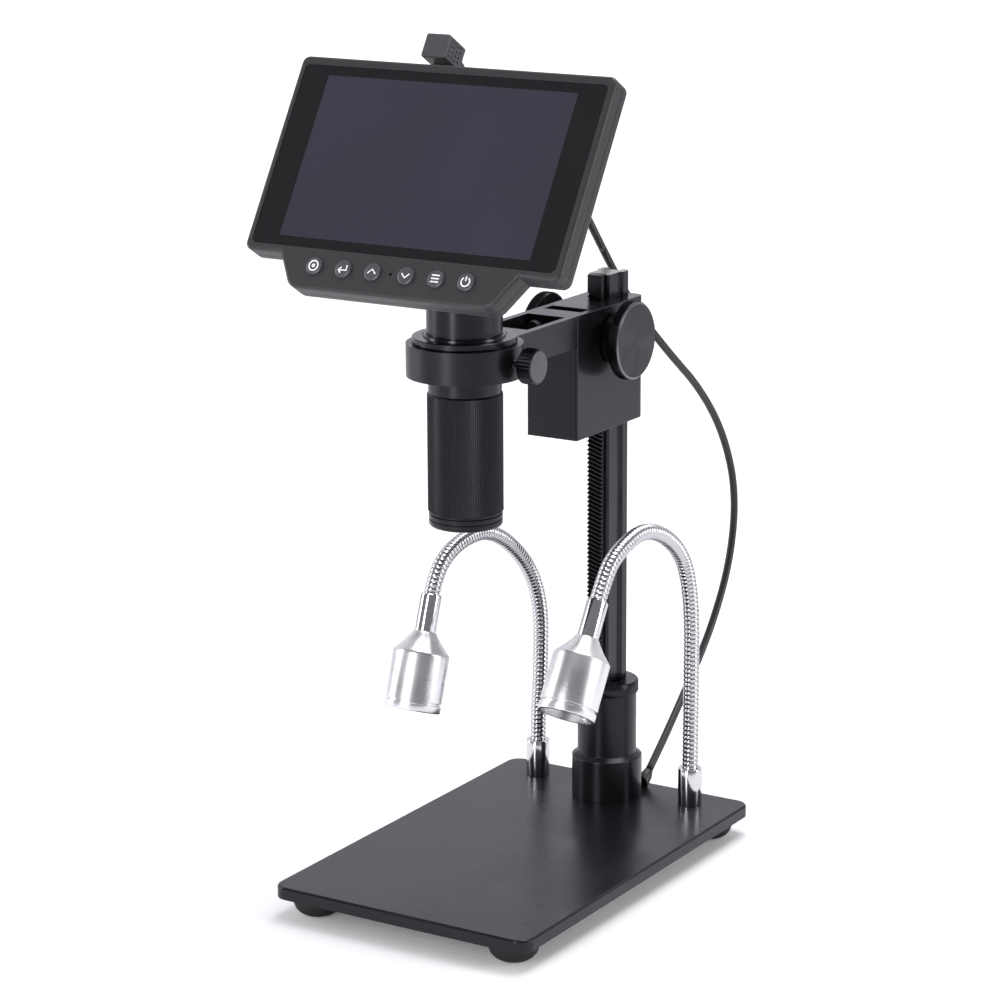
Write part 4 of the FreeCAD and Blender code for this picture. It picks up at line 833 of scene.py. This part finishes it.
def strokes(paths):
    """Flat printed strokes: each path is a list of points in mm round the button's middle."""
    form = bmesh.new()
    for path in paths:
        path = [Vector((x, y, 0)) * SIGN_SCALE for x, y in path]
        closed = (path[0] - path[-1]).length < 1e-6
        if closed:
            path = path[:-1]
        count = len(path)
        lines = []
        for i, spot in enumerate(path):
            before = path[i - 1] if i or closed else None
            after = path[(i + 1) % count] if i < count - 1 or closed else None
            way = ((spot - before).normalized() if before is not None else Vector()) + (
                (after - spot).normalized() if after is not None else Vector())
            way.normalize()
            side = Vector((-way.y, way.x, 0)) * STROKE_WIDTH / 2
            lines.append((form.verts.new((spot + side) * MM), form.verts.new((spot - side) * MM)))
        for i in range(count if closed else count - 1):
            a, b = lines[i], lines[(i + 1) % count]
            form.faces.new((a[0], a[1], b[1], b[0]))
    bmesh.ops.recalc_face_normals(form, faces=form.faces)
    grown = bmesh.ops.extrude_face_region(form, geom=form.faces[:])
    lifted = [g for g in grown["geom"] if isinstance(g, bmesh.types.BMVert)]
    bmesh.ops.translate(form, verts=lifted, vec=(0, 0, INK_THICK * MM))
    bmesh.ops.recalc_face_normals(form, faces=form.faces)
    return form


def arc(radius, start, end, count=24):
    turns = [math.radians(start + (end - start) * i / count) for i in range(count + 1)]
    return [(radius * math.cos(a), radius * math.sin(a)) for a in turns]


ring = arc(1.35, 0, 360)
ring[-1] = ring[0]
dot = arc(0.35, 0, 360, 12)
dot[-1] = dot[0]
SIGNS = [
    [ring, dot],
    [[(1.2, 1.0), (1.2, -0.4), (-1.1, -0.4)], [(-0.4, 0.4), (-1.2, -0.4), (-0.4, -1.2)]],
    [[(-1.2, -0.5), (0, 0.7), (1.2, -0.5)]],
    [[(-1.2, 0.5), (0, -0.7), (1.2, 0.5)]],
    [[(-1.2, 0.9), (1.2, 0.9)], [(-1.2, 0), (1.2, 0)], [(-1.2, -0.9), (1.2, -0.9)]],
    [arc(1.25, 125, 415), [(0, 0.2), (0, 1.5)]],
]
sign_ink = moulded("screen_printed_ink", "#F2F2F4", rough=0.5, grain=0.2, depth=0.002)
for number, (u, paths) in enumerate(zip(BUTTONS, SIGNS), start=1):
    cap = turned(f"button_{number}_moulded", [
        (0, -3.55), (4.2, -3.55), (4.2, -2.55), (3.45, -2.55), (3.45, 0.3), (3.3, 0.65),
        (2.9, 0.86), (2.4, 0.9), (0, 0.9)], HEAD @ standing(u, BUTTON_ROW, 0), steps=64)
    settle(cap, button_plastic, f"button_{number}", "button", f"button_{number}")
    form = strokes(paths)
    bmesh.ops.transform(form, matrix=HEAD @ standing(u, BUTTON_ROW, 0.88), verts=form.verts)
    settle(as_object(f"button_{number}_sign", form), sign_ink, f"button_{number}", "button")
print("buttons made")

# %% [markdown]
# The plug is an angled moulding over the head's top edge. Its side faces have small dimples to
# grip, a bright metal shell goes into the port, and a ribbed relief guards the cable.

# %% Plug and relief
PLUG_X, PLUG_BACK = -13, -15
form = slab(box_outline(-18.25, 43.5, -7.75, 53.1), PLUG_BACK, -2, 0)
rounded(form, form.edges[:], 0.9, 4)
plug = as_object("plug_moulded", form)
dimples = bmesh.new()
for row in range(4):
    for step in range(4):
        for u in (-18.45, -7.55):
            spot = (u, 45.2 + row * 1.9 + 0.4 * (step % 2), -4.6 - step * 2.2)
            bmesh.ops.create_uvsphere(dimples, u_segments=12, v_segments=8, radius=0.66 * MM,
                                      matrix=standing(*spot))
carved(plug, as_object("cutter", dimples))
plug.data.transform(HEAD)
soften(plug, 0)
settle(plug, plug_plastic, "camera_head", "cable", "usb_plug")
relief = [(0, 0), (2.7, 0)]
for i in range(5):
    start, radius = 0.5 + i * 1.3, 2.7 - i * 0.16
    relief += [(radius, start), (radius, start + 0.75), (radius - 0.55, start + 0.8),
               (radius - 0.55, start + 1.25)]
relief += [(1.7, 7.0), (0, 7.0)]
backward = HEAD @ standing(PLUG_X, 48.3, PLUG_BACK) @ Matrix.Rotation(math.pi, 4, "X")
guard = turned("plug_relief_ribbed", relief, backward, steps=40)
settle(guard, plug_plastic, "camera_head", "cable")
form = slab(box_outline(-16.5, 35.3, -9.5, 43.5), -11, -9, 0)
rounded(form, form.edges[:], 0.3, 2)
plug_shell = as_object("plug_shell_pressed", form)
plug_shell.data.transform(HEAD)
soften(plug_shell, 0)
settle(plug_shell, steel, "camera_head", "steel", "usb_plug_shell")
print("plug made")

# %% [markdown]
# The pieces inside, and the screws in the arm's window, keep their CAD shape and get their
# own materials. The lenses are coated glass, which shows a faint violet.

# %% Inner pieces
lens_glass, tree, output = new_material("coated_optical_glass")
dust = add(tree, "TexNoise", Vector=add(tree, "TexCoord").outputs["Object"],
           Scale=1 / (3 * MM), Detail=2.0)
rough = ranged(tree, dust.outputs["Fac"], 0.3, 0.8, 0.02, 0.06)
shader = add(tree, "BsdfPrincipled", Base_Color=colour("#3A3350"), Roughness=rough.outputs[0],
             Coat_Weight=1.0, Coat_Roughness=0.02, Coat_Tint=colour("#C8B6FF"))
tree.links.new(shader.outputs[0], output.inputs[0])
FINISHES = {
    "front_lens": lens_glass, "rear_lens": lens_glass, "sensor_board": board_green,
    "main_board": board_green, "button_board": board_green, "screen_panel": housing_plastic,
    "base_bolt": steel, "arm_screw_left": steel, "arm_screw_right": steel,
    "pinion_bush_left": brass, "pinion_bush_right": brass, "pinion_shaft": steel,
}
for name, finish in FINISHES.items():
    mesh = frame["nodes"][name].data
    mesh.materials.clear()
    mesh.materials.append(finish)
print(len(FINISHES), "inner pieces finished")

# %% [markdown]
# The object stands on a white table in a bright studio. The table is white to the camera, more
# so far away, and keeps a soft shadow. Four softboxes light it, and the room that the metal
# mirrors is a pale grey wall that is brighter behind the object than behind the camera.

# %% Studio
white_table, tree, output = new_material("white_table")
ray = add(tree, "LightPath")
matte = add(tree, "BsdfPrincipled", Base_Color=colour("#F4F4F6"), Roughness=0.9)
reach = add(tree, "VectorMath", {"operation": "LENGTH"}, _0=add(tree, "TexCoord").outputs["Object"])
far = ranged(tree, reach.outputs["Value"], 0.3, 3.0, 0.12, 0.9)
seen = add(tree, "Math", {"operation": "MULTIPLY"}, _0=far.outputs[0],
           _1=ray.outputs["Is Camera Ray"])
glow = add(tree, "Emission", Color=colour("#FFFFFF"), Strength=seen.outputs[0])
both = add(tree, "AddShader", _0=matte.outputs[0], _1=glow.outputs[0])
tree.links.new(both.outputs[0], output.inputs[0])
form = bmesh.new()
bmesh.ops.create_grid(form, x_segments=1, y_segments=1, size=4)
table = as_object("table", form)
table.data.materials.append(white_table)
world = bpy.data.worlds.new("studio")
bpy.context.scene.world = world
world.use_nodes = True
tree = world.node_tree
tree.nodes.clear()
output = tree.nodes.new("ShaderNodeOutputWorld")
ray = add(tree, "LightPath")
view = add(tree, "TexCoord")
behind = add(tree, "VectorMath", {"operation": "DOT_PRODUCT"}, _0=view.outputs["Generated"],
             _1=(-0.52, 0.85, 0.05))
wall = ranged(tree, behind.outputs["Value"], 0.1, 0.8, 0.26, 1.0)
room = add(tree, "Background", Color=colour("#F2F4F8"), Strength=wall.outputs[0])
shown = add(tree, "Background", Color=colour("#FFFFFF"), Strength=1.0)
pick = add(tree, "MixShader", _0=ray.outputs["Is Camera Ray"], _1=room.outputs[0], _2=shown.outputs[0])
tree.links.new(pick.outputs[0], output.inputs[0])


def softbox(name, spot, aim, wide, tall, power):
    """A rectangular area light at a spot, facing the aim; sizes in metres, power in watts."""
    light = bpy.data.lights.new(name, "AREA")
    light.shape = "RECTANGLE"
    light.size, light.size_y, light.energy = wide, tall, power
    lamp = bpy.data.objects.new(name, light)
    lamp.location = spot
    lamp.rotation_euler = (Vector(aim) - Vector(spot)).to_track_quat("-Z", "Y").to_euler()
    bpy.context.scene.collection.objects.link(lamp)


softbox("overhead", (0.15, 0.35, 1.7), (0, 0, 0.1), 1.1, 1.0, 20)
softbox("side", (1.5, 0.45, 0.6), (0, 0, 0.2), 0.5, 0.9, 10)
softbox("strip", (-0.1, -1.5, 0.45), (0, 0, 0.15), 0.26, 1.3, 14)
softbox("left", (-1.3, -0.5, 0.5), (0, 0, 0.15), 0.4, 1.0, 6)
bpy.context.scene.view_settings.view_transform = "Standard"
print("studio lit")
